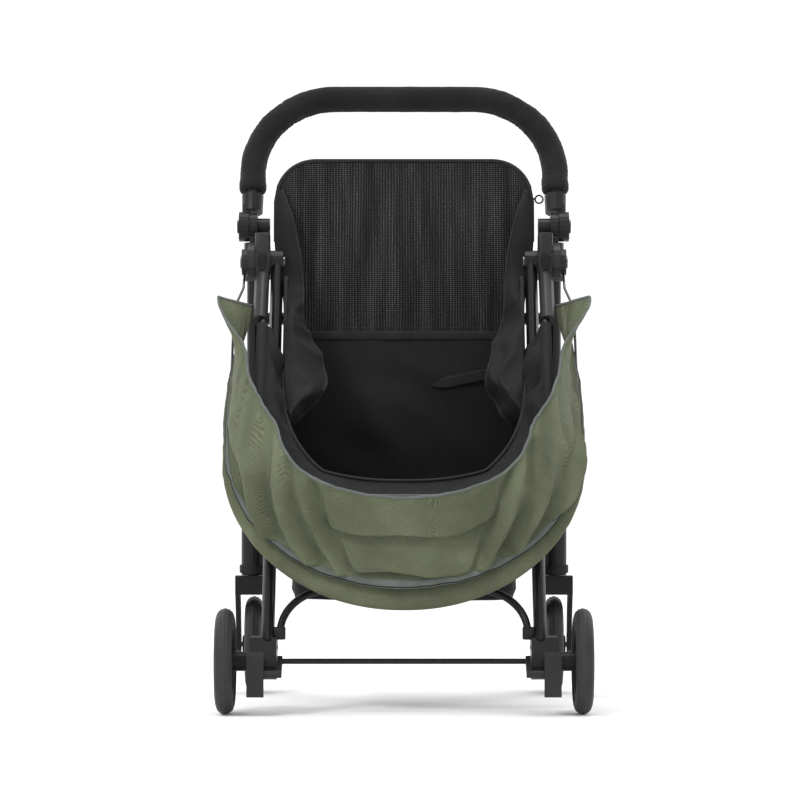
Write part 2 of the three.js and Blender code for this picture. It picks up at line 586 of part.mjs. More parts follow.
function addCabin() {
  const wallTop = hub.z - 22;
  const mouth = [
    [CABIN_NEAR - 40, 318],
    [CABIN_NEAR + 40, 345],
    [hub.y - 90, wallTop - 120],
    [hub.y - 35, wallTop],
    [cabinFar - 15, wallTop],
    [cabinFar - 15, CABIN_BACK_Z],
    [cabinFar + 40, CABIN_BACK_Z],
    [cabinFar + 40, wallTop + 100],
    [CABIN_NEAR - 40, wallTop + 100],
  ];
  const shell = cut(
    cabinPrism(0, cabinFar, [CABIN_FLOOR_Z, wallTop + 50]),
    cabinPrism(CABIN_WALL, cabinFar - CABIN_WALL, [CABIN_FLOOR_Z + CABIN_WALL, wallTop + 60]),
    slabX(mouth, [-300, 300]),
  );
  add('cabin_shell', shell, blackFabric);

  const rise = (PANEL_TOP_Z - panelBottom) / Math.cos(radians(PANEL_LEAN));
  const foot = CABIN_HALF_WIDTH - 2;
  const outline = new THREE.Shape();
  outline.moveTo(-foot, 0);
  outline.lineTo(foot, 0);
  outline.lineTo(PANEL_HALF_WIDTH, rise * 0.7);
  outline.quadraticCurveTo(PANEL_HALF_WIDTH, rise, PANEL_HALF_WIDTH - PANEL_CORNER, rise);
  outline.lineTo(-PANEL_HALF_WIDTH + PANEL_CORNER, rise);
  outline.quadraticCurveTo(-PANEL_HALF_WIDTH, rise, -PANEL_HALF_WIDTH, rise * 0.7);
  const panel = new THREE.ExtrudeGeometry(outline, { depth: PANEL_THICKNESS, bevelEnabled: false, curveSegments: 6 });
  panel.rotateX(Math.PI / 2 - radians(PANEL_LEAN)).translate(0, cabinFar + 1, panelBottom);
  add('back_panel', panel, meshFabric);

  const far = FLOOR_PIVOT_Y;
  const boardZ = [CABIN_FLOOR_Z + CABIN_WALL + GAP, CABIN_FLOOR_Z + CABIN_WALL + GAP + BOARD_THICKNESS];
  const padZ = [boardZ[1] + GAP, boardZ[1] + GAP + PAD_THICKNESS];
  add('floor_board', cabinPrism(CABIN_WALL + 5, far, boardZ), blackPlastic);
  add('floor_pad', cabinPrism(CABIN_WALL + 7, far, padZ), blackFabric);

  const strap = box([0, 130], [-1.2, 1.2], [-9, 9]).rotateY(-radians(13));
  add('tether_strap', strap.translate(42, cabinFar - CABIN_WALL - 1.7, 474), blackFabric);

  const loop = new THREE.TorusGeometry(6, 1.3, 6, 16).rotateX(Math.PI / 2);
  add('elastic_loop', loop.translate(PANEL_HALF_WIDTH + 8, uprightY + 6, HANDLE_PIVOT_Z + 43), blackFabric);
}

function addBasket() {
  const span = [-BASKET_HALF_WIDTH, BASKET_HALF_WIDTH];
  const outer = slabX([
    [BASKET_NEAR, BASKET_BOTTOM_Z + 14],
    [BASKET_NEAR + 22, BASKET_BOTTOM_Z],
    [BASKET_FAR - 22, BASKET_BOTTOM_Z],
    [BASKET_FAR, BASKET_BOTTOM_Z + 14],
    [BASKET_FAR, 240],
    [BASKET_FAR - 60, 214],
    [BASKET_NEAR, 198],
  ], span);
  const inner = slabX([
    [BASKET_NEAR + BASKET_WALL, BASKET_BOTTOM_Z + 14 + BASKET_WALL],
    [BASKET_NEAR + 22 + BASKET_WALL / 2, BASKET_BOTTOM_Z + BASKET_WALL],
    [BASKET_FAR - 22 - BASKET_WALL / 2, BASKET_BOTTOM_Z + BASKET_WALL],
    [BASKET_FAR - BASKET_WALL, BASKET_BOTTOM_Z + 14 + BASKET_WALL],
    [BASKET_FAR - BASKET_WALL, 260],
    [BASKET_NEAR + BASKET_WALL, 260],
  ], [span[0] + BASKET_WALL, span[1] - BASKET_WALL]);
  add('storage_basket', cut(outer, inner), blackFabric);
}

// ---------------------------------------------------------------- hood, folded open over the mouth

function addHood() {
  const count = 28;
  const edge = ({ halfWidth, reach, corner, angle }, inset) => {
    const curve = bowCurve({ halfWidth: halfWidth - inset, start: HOOD_START, reach: reach - inset, corner }, count);
    return curve.points.map((p) => hubPoint(p.x, p.z, radians(angle)));
  };
  const inner = edge(HOOD_INNER, 0);
  const outer = edge({ ...HOOD_OUTER, corner: HOOD_OUTER.corner - BOW_RADIUS - 1 }, BOW_RADIUS + 1);
  const sections = inner.map((a, i) => {
    const b = outer[i];
    const along = inner[Math.min(i + 1, count)].clone().sub(inner[Math.max(i - 1, 0)]);
    const across = b.clone().sub(a).cross(along).setLength(HOOD_THICKNESS / 2);
    return [a.clone().add(across), b.clone().add(across), b.clone().sub(across), a.clone().sub(across)];
  });
  const earX = (EAR_X[0] + EAR_X[1]) / 2;
  const angle = radians(HOOD_OUTER.angle);
  const shape = { ...HOOD_OUTER, start: HOOD_START, corner: HOOD_OUTER.corner };
  const free = bowCurve(shape, count).points.map((p) => hubPoint(p.x, p.z, angle));
  const arm = (sign) => [hubPoint(sign * earX, EAR_RADIUS + 1, angle), hubPoint(sign * (earX + 2), 50, angle)];
  const route = new THREE.CatmullRomCurve3([...arm(-1), ...free, ...arm(1).reverse()]);
  add('hood_bow', sweep(route, BOW_RADIUS, 40, 6), steel);
  add('hood_cover', cut(loft(sections), sweep(route, BOW_RADIUS + GAP, 40, 6)), greenFabric);

  const ear = rodX(EAR_RADIUS, EAR_X, hub.y, hub.z, 18);
  const earHole = rodX(PIN_RADIUS + GAP, [EAR_X[0] - 1, EAR_X[1] + 1], hub.y, hub.z, 12);
  addPair('hood_ear', cut(ear, earHole), greyPlastic);
}

addUprights();
addForks();
addNearFrame();
addWheels();
addRimBar();
addHandle();
addCabin();
addBasket();
addHood();

export default stroller;
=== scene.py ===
# Pet stroller: the visible surfaces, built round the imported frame. Metres, +Z up, the near end at -Y.

import math

import bpy
import numpy as np
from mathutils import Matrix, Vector, noise


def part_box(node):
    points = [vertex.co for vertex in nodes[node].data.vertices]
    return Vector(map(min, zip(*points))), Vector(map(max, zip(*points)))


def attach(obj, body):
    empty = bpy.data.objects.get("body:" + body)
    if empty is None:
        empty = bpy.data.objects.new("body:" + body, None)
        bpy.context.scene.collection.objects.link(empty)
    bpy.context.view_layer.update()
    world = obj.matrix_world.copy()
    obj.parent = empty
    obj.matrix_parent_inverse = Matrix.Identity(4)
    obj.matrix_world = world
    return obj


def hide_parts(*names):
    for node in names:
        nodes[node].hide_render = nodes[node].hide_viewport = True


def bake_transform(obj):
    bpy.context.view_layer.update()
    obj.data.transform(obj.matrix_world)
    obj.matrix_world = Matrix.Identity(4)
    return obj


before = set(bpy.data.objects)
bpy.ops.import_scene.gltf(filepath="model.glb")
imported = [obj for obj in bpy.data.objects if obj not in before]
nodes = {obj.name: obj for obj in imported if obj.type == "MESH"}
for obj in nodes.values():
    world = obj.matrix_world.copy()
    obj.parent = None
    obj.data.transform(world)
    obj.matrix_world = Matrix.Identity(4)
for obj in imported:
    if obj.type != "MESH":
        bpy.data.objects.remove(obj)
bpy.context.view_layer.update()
MM = 0.001
SIDES = (("r", 1.0), ("l", -1.0))


def box(name):
    low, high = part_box(name)
    return np.array(low), np.array(high)


def middle(name):
    low, high = box(name)
    return (low + high) / 2


# ---- driving sizes, from the frame

HUB = middle("hub_pin_r")
HANDLE_PIVOT = middle("handle_button_r")
HANDLE_PIVOT[1] = middle("upright_tube_r")[1]
TYRE_LOW, TYRE_HIGH = box("near_tyre_r")
WHEEL_RADIUS = (TYRE_HIGH - TYRE_LOW)[2] / 2
TYRE_WIDTH = (TYRE_HIGH - TYRE_LOW)[0]
TYRE_DEPTH = 16 * MM
CABIN_LOW, CABIN_HIGH = box("cabin_shell")
PANEL_LOW, PANEL_HIGH = box("back_panel")
BASKET_LOW, BASKET_HIGH = box("storage_basket")
CABIN_CORNER = 168 * MM
RIM_BAR = {"half": 211 * MM, "reach": 502 * MM, "corner": 180 * MM, "angle": math.radians(44.2)}
RIM_BAR_RADIUS = 6.5 * MM
RIM_SOCKET_END = 130 * MM
HOOD_OUTER = {"half": 256 * MM, "reach": 622 * MM, "corner": 252 * MM, "angle": math.radians(34.8)}
HOOD_INNER = {"half": 234 * MM, "reach": 532 * MM, "corner": 230 * MM, "angle": math.radians(48.2)}
HOOD_START = 84 * MM
BOW_RADIUS = 2 * MM
HANDLE = {"half": 234.6 * MM, "reach": 219 * MM, "corner": 128 * MM, "lean": math.radians(20)}
GRIP_RADIUS = 21 * MM
GRIP_START = 58.5 * MM

CAMERA_DISTANCE = 4.725
CAMERA_HEIGHT = 0.340
LENS = 143.1
SHIFT = (-0.005, 0.0925)


# ---- camera and light

def add_camera():
    data = bpy.data.cameras.new("camera")
    data.lens = LENS
    data.sensor_width = 36
    data.shift_x, data.shift_y = SHIFT
    data.clip_end = 50
    camera = bpy.data.objects.new("camera", data)
    camera.location = (0, -CAMERA_DISTANCE, CAMERA_HEIGHT)
    camera.rotation_euler = (math.pi / 2, 0, 0)
    bpy.context.scene.collection.objects.link(camera)
    bpy.context.scene.camera = camera


def add_light(name, place, size, power, aim=(0, 0, 0.45)):
    data = bpy.data.lights.new(name, "AREA")
    data.shape = "RECTANGLE"
    data.size, data.size_y = size
    data.energy = power
    light = bpy.data.objects.new(name, data)
    light.location = place
    light.rotation_euler = (Vector(aim) - Vector(place)).to_track_quat("-Z", "Y").to_euler()
    bpy.context.scene.collection.objects.link(light)


def add_studio():
    bpy.context.scene.view_settings.view_transform = "Standard"
    world = bpy.data.worlds.new("studio")
    world.use_nodes = True
    background = world.node_tree.nodes["Background"]
    background.inputs["Color"].default_value = (1, 1, 1, 1)
    background.inputs["Strength"].default_value = 1.1
    bpy.context.scene.world = world
    add_light("key", (-1.9, -2.3, 2.7), (0.7, 0.7), 46)
    add_light("fill", (2.4, -2.2, 1.4), (1.0, 1.6), 6)
    add_light("top", (0.1, 0.2, 3.0), (1.2, 1.2), 24)
    add_light("back_left", (-1.9, 2.0, 1.6), (0.8, 1.8), 14)
    add_light("back_right", (1.9, 2.0, 1.6), (0.8, 1.8), 14)
    bpy.ops.mesh.primitive_plane_add(size=160)
    floor = bpy.context.object
    floor.name = "studio_floor"
    floor.data.materials.append(plain_floor())


# ---- materials

def add_node(tree, kind, inputs=None, **settings):
    """A node with its settings, whose inputs are values or other nodes' outputs."""
    made = tree.nodes.new(kind)
    for key, value in settings.items():
        setattr(made, key, value)
    for key, value in (inputs or {}).items():
        if isinstance(value, bpy.types.NodeSocket):
            tree.links.new(value, made.inputs[key])
        else:
            made.inputs[key].default_value = value
    return made


class Paint:
    """One material's node tree, with short ways to add what gives its colour, roughness and bumps."""

    def __init__(self, name, roughness, **values):
        self.made = bpy.data.materials.new(name)
        self.made.use_nodes = True
        self.tree = self.made.node_tree
        self.shader = self.tree.nodes["Principled BSDF"]
        self.shader.inputs["Roughness"].default_value = roughness
        for key, value in values.items():
            self.shader.inputs[key.replace("_", " ").title().replace("Ior", "IOR")].default_value = value

    def node(self, kind, inputs=None, **settings):
        return add_node(self.tree, "ShaderNode" + kind, inputs, **settings)

    def place(self, output="Object"):
        return self.node("TexCoord").outputs[output]

    def noisy(self, vector, scale, detail=3.0, roughness=0.55):
        inputs = {"Vector": vector, "Scale": scale, "Detail": detail, "Roughness": roughness}
        return self.node("TexNoise", inputs).outputs["Fac"]

    def cells(self, vector, scale, randomness):
        inputs = {"Vector": vector, "Scale": scale, "Randomness": randomness}
        return self.node("TexVoronoi", inputs, voronoi_dimensions="2D", feature="F1").outputs

    def scaled(self, vector, scale):
        return self.node("Mapping", {"Vector": vector, "Scale": scale}).outputs["Vector"]

    def maths(self, operation, a, b=0.0, c=0.0):
        return self.node("Math", {0: a, 1: b, 2: c}, operation=operation).outputs["Value"]

    def woven(self, pitch):
        """The height of a plain weave of threads `pitch` metres apart, on a piece's cloth coordinates."""
        axes = self.node("SeparateXYZ", {"Vector": self.place("UV")})
        turns = 2 * math.pi / pitch
        over = self.maths("SINE", self.maths("MULTIPLY", axes.outputs["X"], turns))
        under = self.maths("SINE", self.maths("MULTIPLY", axes.outputs["Y"], turns))
        return self.maths("MULTIPLY_ADD", self.maths("MULTIPLY", over, under), 0.5, 0.5)

    def colour(self, factor, *stops):
        """The base colour as a ramp over factor, from (position, (red, green, blue)) stops."""
        ramp = self.node("ValToRGB", {"Fac": factor})
        elements = ramp.color_ramp.elements
        while len(elements) < len(stops):
            elements.new(0.5)
        for element, (position, colour) in zip(elements, stops):
            element.position = position
            element.color = (*colour, 1)
        self.tree.links.new(ramp.outputs["Color"], self.shader.inputs["Base Color"])

    def rough(self, factor, low, high):
        scale = self.node("MapRange", {"Value": factor, "To Min": low, "To Max": high})
        self.tree.links.new(scale.outputs["Result"], self.shader.inputs["Roughness"])

    def bump(self, *layers):
        """Stacks bump layers, each (height, strength, distance), on the shader's normal."""
        normal = None
        for height, strength, distance in layers:
            inputs = {"Height": height, "Strength": strength, "Distance": distance}
            if normal is not None:
                inputs["Normal"] = normal
            normal = self.node("Bump", inputs).outputs["Normal"]
        self.tree.links.new(normal, self.shader.inputs["Normal"])


def grey(value):
    return (value,) * 3


def plain_floor():
    paint = Paint("studio_floor", 0.9)
    paint.colour(paint.noisy(paint.place(), 0.6), (0, grey(0.93)), (1, grey(0.96)))
    return paint.made


def moulded_plastic(name, dark, light, roughness):
    paint = Paint(name, roughness, specular_ior_level=0.22)
    where = paint.place()
    grain = paint.noisy(where, 1900, 2)
    paint.colour(paint.noisy(where, 9, 2), (0.3, dark), (0.75, light))
    paint.rough(paint.noisy(where, 40, 4), roughness - 0.07, roughness + 0.09)
    paint.bump((grain, 0.16, 0.0002), (paint.noisy(where, 120, 2), 0.04, 0.0006))
    return paint.made


def satin_paint():
    paint = Paint("frame_paint", 0.36, specular_ior_level=0.26)
    where = paint.place()
    paint.colour(paint.noisy(where, 14, 3), (0.3, grey(0.0022)), (0.8, (0.005, 0.005, 0.0055)))
    paint.rough(paint.noisy(paint.scaled(where, (1, 1, 0.15)), 160, 5, 0.65), 0.30, 0.46)
    paint.bump((paint.noisy(where, 2600, 2), 0.10, 0.0001))
    return paint.made


def brushed_steel():
    paint = Paint("steel", 0.3, metallic=1.0)
    streaks = paint.noisy(paint.scaled(paint.place(), (1, 9, 9)), 420, 3)
    paint.colour(streaks, (0.2, (0.09, 0.09, 0.095)), (0.9, (0.17, 0.17, 0.175)))
    paint.rough(streaks, 0.24, 0.42)
    paint.bump((streaks, 0.08, 0.0001))
    return paint.made


def tyre_rubber():
    paint = Paint("tyre_rubber", 0.68, specular_ior_level=0.3)
    where = paint.place()
    dust = paint.noisy(where, 55, 5, 0.65)
    paint.colour(dust, (0.35, (0.016, 0.016, 0.017)), (0.8, (0.034, 0.033, 0.033)))
    paint.rough(dust, 0.52, 0.76)
    paint.bump((paint.noisy(where, 1500, 3), 0.2, 0.0002), (paint.noisy(where, 260, 3), 0.10, 0.0004))
    return paint.made


def black_cloth():
    paint = Paint("black_fabric", 0.72, specular_ior_level=0.22, sheen_weight=0.03, sheen_roughness=0.4)
    where = paint.place()
    broad = paint.noisy(where, 7, 4, 0.6)
    paint.colour(broad, (0.3, (0.0055, 0.0055, 0.006)), (0.8, (0.0105, 0.0105, 0.0115)))
    paint.rough(paint.noisy(where, 160, 3), 0.68, 0.86)
    creases = paint.noisy(paint.scaled(where, (1, 1, 0.6)), 26, 4, 0.5)
    paint.bump((paint.woven(1.1 * MM), 0.22, 0.0003), (creases, 0.20, 0.004))
    return paint.made


def stretch_cloth():
    paint = Paint("grip_foam", 0.9, specular_ior_level=0.15, sheen_weight=0.05, sheen_roughness=0.5)
    where = paint.place()
    paint.colour(paint.noisy(where, 12, 4), (0.3, (0.006, 0.006, 0.0065)), (0.8, grey(0.014)))
    paint.rough(paint.noisy(where, 240, 3), 0.8, 0.95)
    paint.bump((paint.noisy(where, 1100, 4), 0.35, 0.0005), (paint.noisy(where, 60, 3), 0.12, 0.002))
    return paint.made


def knitted_mesh():
    """Rows of small knots between dark holes; the knots' light grey is a painted sheen, brighter in wavering
    vertical bands.
    """
    paint = Paint("mesh_fabric", 0.75, specular_ior_level=0.15)
    cloth = paint.place("UV")
    waver = paint.maths("MULTIPLY", paint.noisy(paint.scaled(cloth, (30, 3.2, 1)), 1.0, 3, 0.6), 0.006)
    shift = paint.node("CombineXYZ", {"X": waver}).outputs["Vector"]
    drift = paint.node("VectorMath", {0: cloth, 1: shift}, operation="ADD").outputs["Vector"]
    holes = paint.cells(paint.scaled(drift, (1, 1.35, 1)), 235, 0.10)["Distance"]
    bands = paint.noisy(paint.scaled(cloth, (48, 4, 1)), 1.0, 3, 0.55)
    # painted sheen: the knots get a light grey where light would catch them, brighter along the wavering
    # bands
    painted_sheen = paint.maths("MULTIPLY_ADD", bands, 0.5, 0.24)
    painted_knot_sheen = paint.maths("MULTIPLY", paint.maths("SMOOTH_MIN", holes, 0.62, 0.1), painted_sheen)
    # the top, light grey stop is the painted sheen on the knots; the dark stops are the black yarn and the
    # holes
    paint.colour(painted_knot_sheen, (0.09, grey(0.002)), (0.21, grey(0.006)), (0.36, (0.085, 0.087, 0.088)))
    paint.bump((holes, 0.5, 0.0008))
    return paint.made


def green_cloth():
    """A woven cloth with patches of short printed strokes, each patch turned its own way."""
    paint = Paint("green_fabric", 0.82, specular_ior_level=0.2, sheen_weight=0.05, sheen_roughness=0.4)
    cloth = paint.place("UV")
    patch = paint.node("SeparateColor", {"Color": paint.cells(cloth, 62, 1.0)["Color"]}).outputs["Red"]
    turn = paint.maths("MULTIPLY", patch, 3.1)
    axes = paint.node("SeparateXYZ", {"Vector": cloth})
    along = paint.maths("MULTIPLY", axes.outputs["X"], paint.maths("COSINE", turn))
    across = paint.maths("MULTIPLY", axes.outputs["Y"], paint.maths("SINE", turn))
    phase = paint.maths("MULTIPLY", paint.maths("ADD", along, across), 2 * math.pi / (2.6 * MM))
    strokes = paint.maths("SINE", phase)
    broken = paint.maths("MULTIPLY", strokes, paint.noisy(cloth, 210, 3))
    tone = paint.maths("MULTIPLY_ADD", broken, 0.28, paint.noisy(cloth, 9, 4))
    paint.colour(tone, (0.22, (0.052, 0.059, 0.034)), (0.52, (0.086, 0.096, 0.058)),
                 (0.86, (0.150, 0.165, 0.102)))
    paint.rough(paint.noisy(cloth, 300, 2), 0.74, 0.9)
    creases = paint.noisy(paint.place(), 38, 4, 0.55)
    paint.bump((paint.woven(0.9 * MM), 0.25, 0.0003), (strokes, 0.10, 0.0003), (creases, 0.16, 0.003))
    return paint.made


def binding_cloth(name, dark, light):
    paint = Paint(name, 0.75, specular_ior_level=0.25, sheen_weight=0.03)
    where = paint.place()
    paint.colour(paint.noisy(where, 30, 4), (0.3, dark), (0.8, light))
    paint.bump((paint.woven(1.6 * MM), 0.3, 0.0004), (paint.noisy(where, 700, 2), 0.2, 0.0003))
    return paint.made


MATERIALS = {
    "frame_paint": satin_paint(),
    "black_plastic": moulded_plastic("black_plastic", (0.005, 0.005, 0.0055), (0.011, 0.011, 0.012), 0.42),
    "grey_plastic": moulded_plastic("grey_plastic", (0.013, 0.0135, 0.0140), (0.022, 0.0225, 0.0235), 0.40),
    "rim_plastic": moulded_plastic("rim_plastic", (0.006, 0.006, 0.0065), (0.012, 0.012, 0.0125), 0.38),
    "board_plastic": moulded_plastic("board_plastic", (0.010, 0.010, 0.011), (0.018, 0.018, 0.018), 0.60),
    "steel": brushed_steel(),
    "tyre_rubber": tyre_rubber(),
    "black_fabric": black_cloth(),
    "mesh_fabric": knitted_mesh(),
    "green_fabric": green_cloth(),
    "grip_foam": stretch_cloth(),
    "grey_binding": binding_cloth("grey_binding", (0.075, 0.084, 0.077), (0.120, 0.132, 0.122)),
    "black_binding": binding_cloth("black_binding", (0.008, 0.008, 0.0085), (0.016, 0.016, 0.017)),
}


# ---- mesh helpers

def smooth_step(value):
    value = np.clip(value, 0, 1)
    return value * value * (3 - 2 * value)


def wrinkle(points, scale, seed=0.0):
    """A smooth random value from about -1 to 1 at each point of an array of points."""
    flat = points.reshape(-1, 3)
    values = [noise.noise(Vector((p[0] * scale + seed, p[1] * scale, p[2] * scale))) for p in flat]
    return np.array(values).reshape(points.shape[:-1])


def mesh_object(name, points, faces, finish, uv=None):
    mesh = bpy.data.meshes.new(name)
    mesh.from_pydata([tuple(p) for p in points], [], faces)
    mesh.materials.append(MATERIALS[finish])
    if uv is not None:
        layer = mesh.uv_layers.new(name="cloth")
        corners = np.zeros(len(mesh.loops), dtype=np.int32)
        mesh.loops.foreach_get("vertex_index", corners)
        layer.data.foreach_set("uv", np.asarray(uv, dtype=np.float32)[corners].ravel())
    mesh.polygons.foreach_set("use_smooth", [True] * len(mesh.polygons))
    mesh.update()
    made = bpy.data.objects.new(name, mesh)
    bpy.context.scene.collection.objects.link(made)
    return made


def grid_faces(rows, columns, wrap=False, start=0):
    """The faces of a grid of points; with wrap, each row is a ring."""
    faces = []
    for i in range(rows - 1):
        for j in range(columns if wrap else columns - 1):
            a = start + i * columns + j
            b = start + i * columns + (j + 1) % columns
            faces.append((a, b, b + columns, a + columns))
    return faces


def capped_faces(rings, sides):
    """The faces of a stack of rings, closed at both ends."""
    faces = grid_faces(rings, sides, wrap=True)
    faces.append(tuple(range(sides))[::-1])
    faces.append(tuple(range((rings - 1) * sides, rings * sides)))
    return faces


def cloth_lengths(grid):
    """Cloth coordinates in metres for a grid of points: along each row, and down the rows."""
    along = np.zeros(grid.shape[:2])
    down = np.zeros(grid.shape[:2])
    along[:, 1:] = np.cumsum(np.linalg.norm(np.diff(grid, axis=1), axis=2), axis=1)
    down[1:] = np.cumsum(np.linalg.norm(np.diff(grid, axis=0), axis=2), axis=0)
    along -= along[:, -1:] / 2
    return np.stack([along, down], axis=2)


def cloth_sheet(name, grids, finish, thickness, levels=1):
    """One piece of cloth from one or more grids of points (rows, columns, 3)."""
    points, faces, uv = [], [], []
    for grid in grids:
        rows, columns = grid.shape[:2]
        faces += grid_faces(rows, columns, start=len(points))
        points += list(grid.reshape(-1, 3))
        uv += list(cloth_lengths(grid).reshape(-1, 2))
    made = mesh_object(name, points, faces, finish, uv)
    if len(grids) > 1:
        weld = made.modifiers.new("weld", "WELD")
        weld.merge_threshold = 0.3 * MM
    thick = made.modifiers.new("thickness", "SOLIDIFY")
    thick.thickness = thickness
    thick.offset = 0
    if levels:
        made.modifiers.new("round", "SUBSURF").levels = levels
        made.modifiers["round"].render_levels = levels
    return made


def sweep_points(path, radii, sides, closed=False, squash=1.0):
    """Rings of points round a path, turned as little as possible from one ring to the next."""
    path = np.asarray(path, dtype=float)
    if closed:
        tangents = np.roll(path, -1, axis=0) - np.roll(path, 1, axis=0)
    else:
        tangents = np.gradient(path, axis=0)
    tangents /= np.linalg.norm(tangents, axis=1)[:, None]
    side = np.cross(tangents[0], (0.0, 0.0, 1.0))
    if np.linalg.norm(side) < 0.1:
        side = np.cross(tangents[0], (1.0, 0.0, 0.0))
    turns = np.linspace(0, 2 * math.pi, sides, endpoint=False)
    radii = np.broadcast_to(np.asarray(radii, dtype=float), (len(path),))
    rings = []
    for centre, tangent, radius in zip(path, tangents, radii):
        side = side - tangent * np.dot(side, tangent)
        side /= np.linalg.norm(side)
        up = np.cross(side, tangent)
        rings.append(centre + radius * (np.outer(np.cos(turns), side) + squash * np.outer(np.sin(turns), up)))
    return np.array(rings)


def tube(name, path, radii, finish, sides=16, closed=False, squash=1.0):
    rings = sweep_points(path, radii, sides, closed, squash)
    if closed:
        last = (len(rings) - 1) * sides
        faces = grid_faces(len(rings), sides, wrap=True)
        faces += [(last + j, last + (j + 1) % sides, (j + 1) % sides, j) for j in range(sides)]
    else:
        faces = capped_faces(len(rings), sides)
    steps = np.linalg.norm(np.diff(rings.mean(axis=1), axis=0), axis=1)
    along = np.concatenate([[0], np.cumsum(steps)])
    around = np.linspace(0, 2 * math.pi * float(np.max(radii)), sides, endpoint=False)
    uv = np.stack(np.meshgrid(around, along), axis=2).reshape(-1, 2)
    return mesh_object(name, rings.reshape(-1, 3), faces, finish, uv)


def lathe_x(profile, centre, steps):
    """Points and faces of a closed profile of (radius, x) turned about the X axis through centre."""
    profile = np.asarray(profile)
    turns = np.linspace(0, 2 * math.pi, steps, endpoint=False)
    points, count = [], len(profile)
    for turn in turns:
        radius, x = profile.T
        points += list(np.stack([x, radius * math.cos(turn), radius * math.sin(turn)], axis=1) + centre)
    faces = []
    for i in range(steps):
        for j in range(count):
            a, b = i * count + j, i * count + (j + 1) % count
            c, d = ((i + 1) % steps) * count + (j + 1) % count, ((i + 1) % steps) * count + j
            faces.append((a, d, c, b))
    return points, faces


def bowed(shape, start, count):
    """A U from -half across to half: x, the way out from its top, and each point's outward direction."""
    half, reach, corner = shape["half"], shape["reach"], shape["corner"]
    arm = max(reach - corner - start, 0)
    bend = corner * math.pi / 2
    flat = 2 * (half - corner)
    along = np.linspace(0, 2 * arm + 2 * bend + flat, count)
    out = []
    for s in along:
        mirror = s > arm + bend + flat / 2
        t = (2 * arm + 2 * bend + flat - s) if mirror else s
        if t < arm:
            x, r, nx, nr = -half, start + t, -1.0, 0.0
        elif t < arm + bend:
            a = (t - arm) / corner
            x, r = -half + corner - corner * math.cos(a), reach - corner + corner * math.sin(a)
            nx, nr = -math.cos(a), math.sin(a)
        else:
            x, r, nx, nr = -half + corner + (t - arm - bend), reach, 0.0, 1.0
        out.append((-x, r, -nx, nr) if mirror else (x, r, nx, nr))
    return np.array(out)


def from_hub(flat, angle):
    """Points (x, way out) in a plane through the hub's axis, angle off straight down towards -Y."""
    flat = np.asarray(flat)
    angle = np.broadcast_to(angle, flat.shape[:-1])
    x, way = flat[..., 0], flat[..., 1]
    return np.stack([x, HUB[1] - way * np.sin(angle), HUB[2] - way * np.cos(angle)], axis=-1)


def rod(name, path, radii, finish, sides, body, slot, replaced=(), **shape):
    finish_piece(tube(name, path, radii, finish, sides, **shape), body, replaced)


def finish_piece(piece, body, replaced=()):
    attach(piece, body)
    if replaced:
        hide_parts(*replaced)


def soft_fabric(piece, replaced=()):
    finish_piece(piece, "main_frame", replaced)


def black_trim(name, path, radius, sides, replaced=(), **shape):
    """A black cord, piping or binding on the cabin's fabric."""
    soft_fabric(tube(name, path, radius, "black_binding", sides, **shape), replaced)


def hung_cloth(name, grid, thickness, replaced=(), finish="black_fabric", levels=1):
    """A piece of cloth that hangs from the main frame."""
    cloth = cloth_sheet(name, [grid], finish, thickness, levels)
    soft_fabric(cloth, replaced)


# ---- CAD pieces that stay

KEPT = {
    "frame_paint": ["upright_tube", "lower_cross_tube", "upper_cross_tube", "near_leg", "brake_rod",
                    "handle_tube"],
    "black_plastic": ["caster_socket", "caster_fork", "handle_mount", "handle_knuckle", "wheel_bracket",
                      "rim_latch"],
    "grey_plastic": ["hub_plate", "handle_button", "rim_bar_socket", "brake_pedal", "hood_ear"],
    "rim_plastic": ["near_rim", "far_rim"],
    "board_plastic": ["floor_board"],
    "steel": ["far_axle", "near_axle", "hub_pin", "handle_pin"],
}


SHALLOW_EDGE = math.radians(48)
BEVELLED_EDGE = math.radians(50)


def smoothing_group():
    """Geometry nodes that shade a faceted piece smooth across its shallow edges only."""
    group = bpy.data.node_groups.new("smooth_shallow_edges", "GeometryNodeTree")
    for way in ("INPUT", "OUTPUT"):
        group.interface.new_socket("Geometry", in_out=way, socket_type="NodeSocketGeometry")
    smooth = "GeometryNodeSetShadeSmooth"
    start = add_node(group, "NodeGroupInput")
    plain = add_node(group, "GeometryNodeRemoveAttribute", {"Geometry": start.outputs[0],
                                                            "Name": "custom_normal"})
    faces = add_node(group, smooth, {"Geometry": plain.outputs[0]}, domain="FACE")
    angle = add_node(group, "GeometryNodeInputMeshEdgeAngle").outputs["Unsigned Angle"]
    shallow = add_node(group, "FunctionNodeCompare", {"A": angle, "B": SHALLOW_EDGE}, operation="LESS_THAN")
    edges = add_node(group, smooth, {"Geometry": faces.outputs[0], "Shade Smooth": shallow.outputs[0]},
                     domain="EDGE")
    add_node(group, "NodeGroupOutput", {0: edges.outputs[0]})
    return group


def dress_kept_nodes():
    group = smoothing_group()
    for slot, starts in KEPT.items():
        for name, piece in nodes.items():
            if name not in starts and name[:-2] not in starts:
                continue
            for place in piece.material_slots:
                place.material = MATERIALS[slot]
            edge = piece.modifiers.new("edges", "BEVEL")
            edge.width = 0.7 * MM
            edge.segments = 2
            edge.limit_method = "ANGLE"
            edge.angle_limit = BEVELLED_EDGE
            edge.harden_normals = False
            piece.modifiers.new("shading", "NODES").node_group = group


# ---- tyres

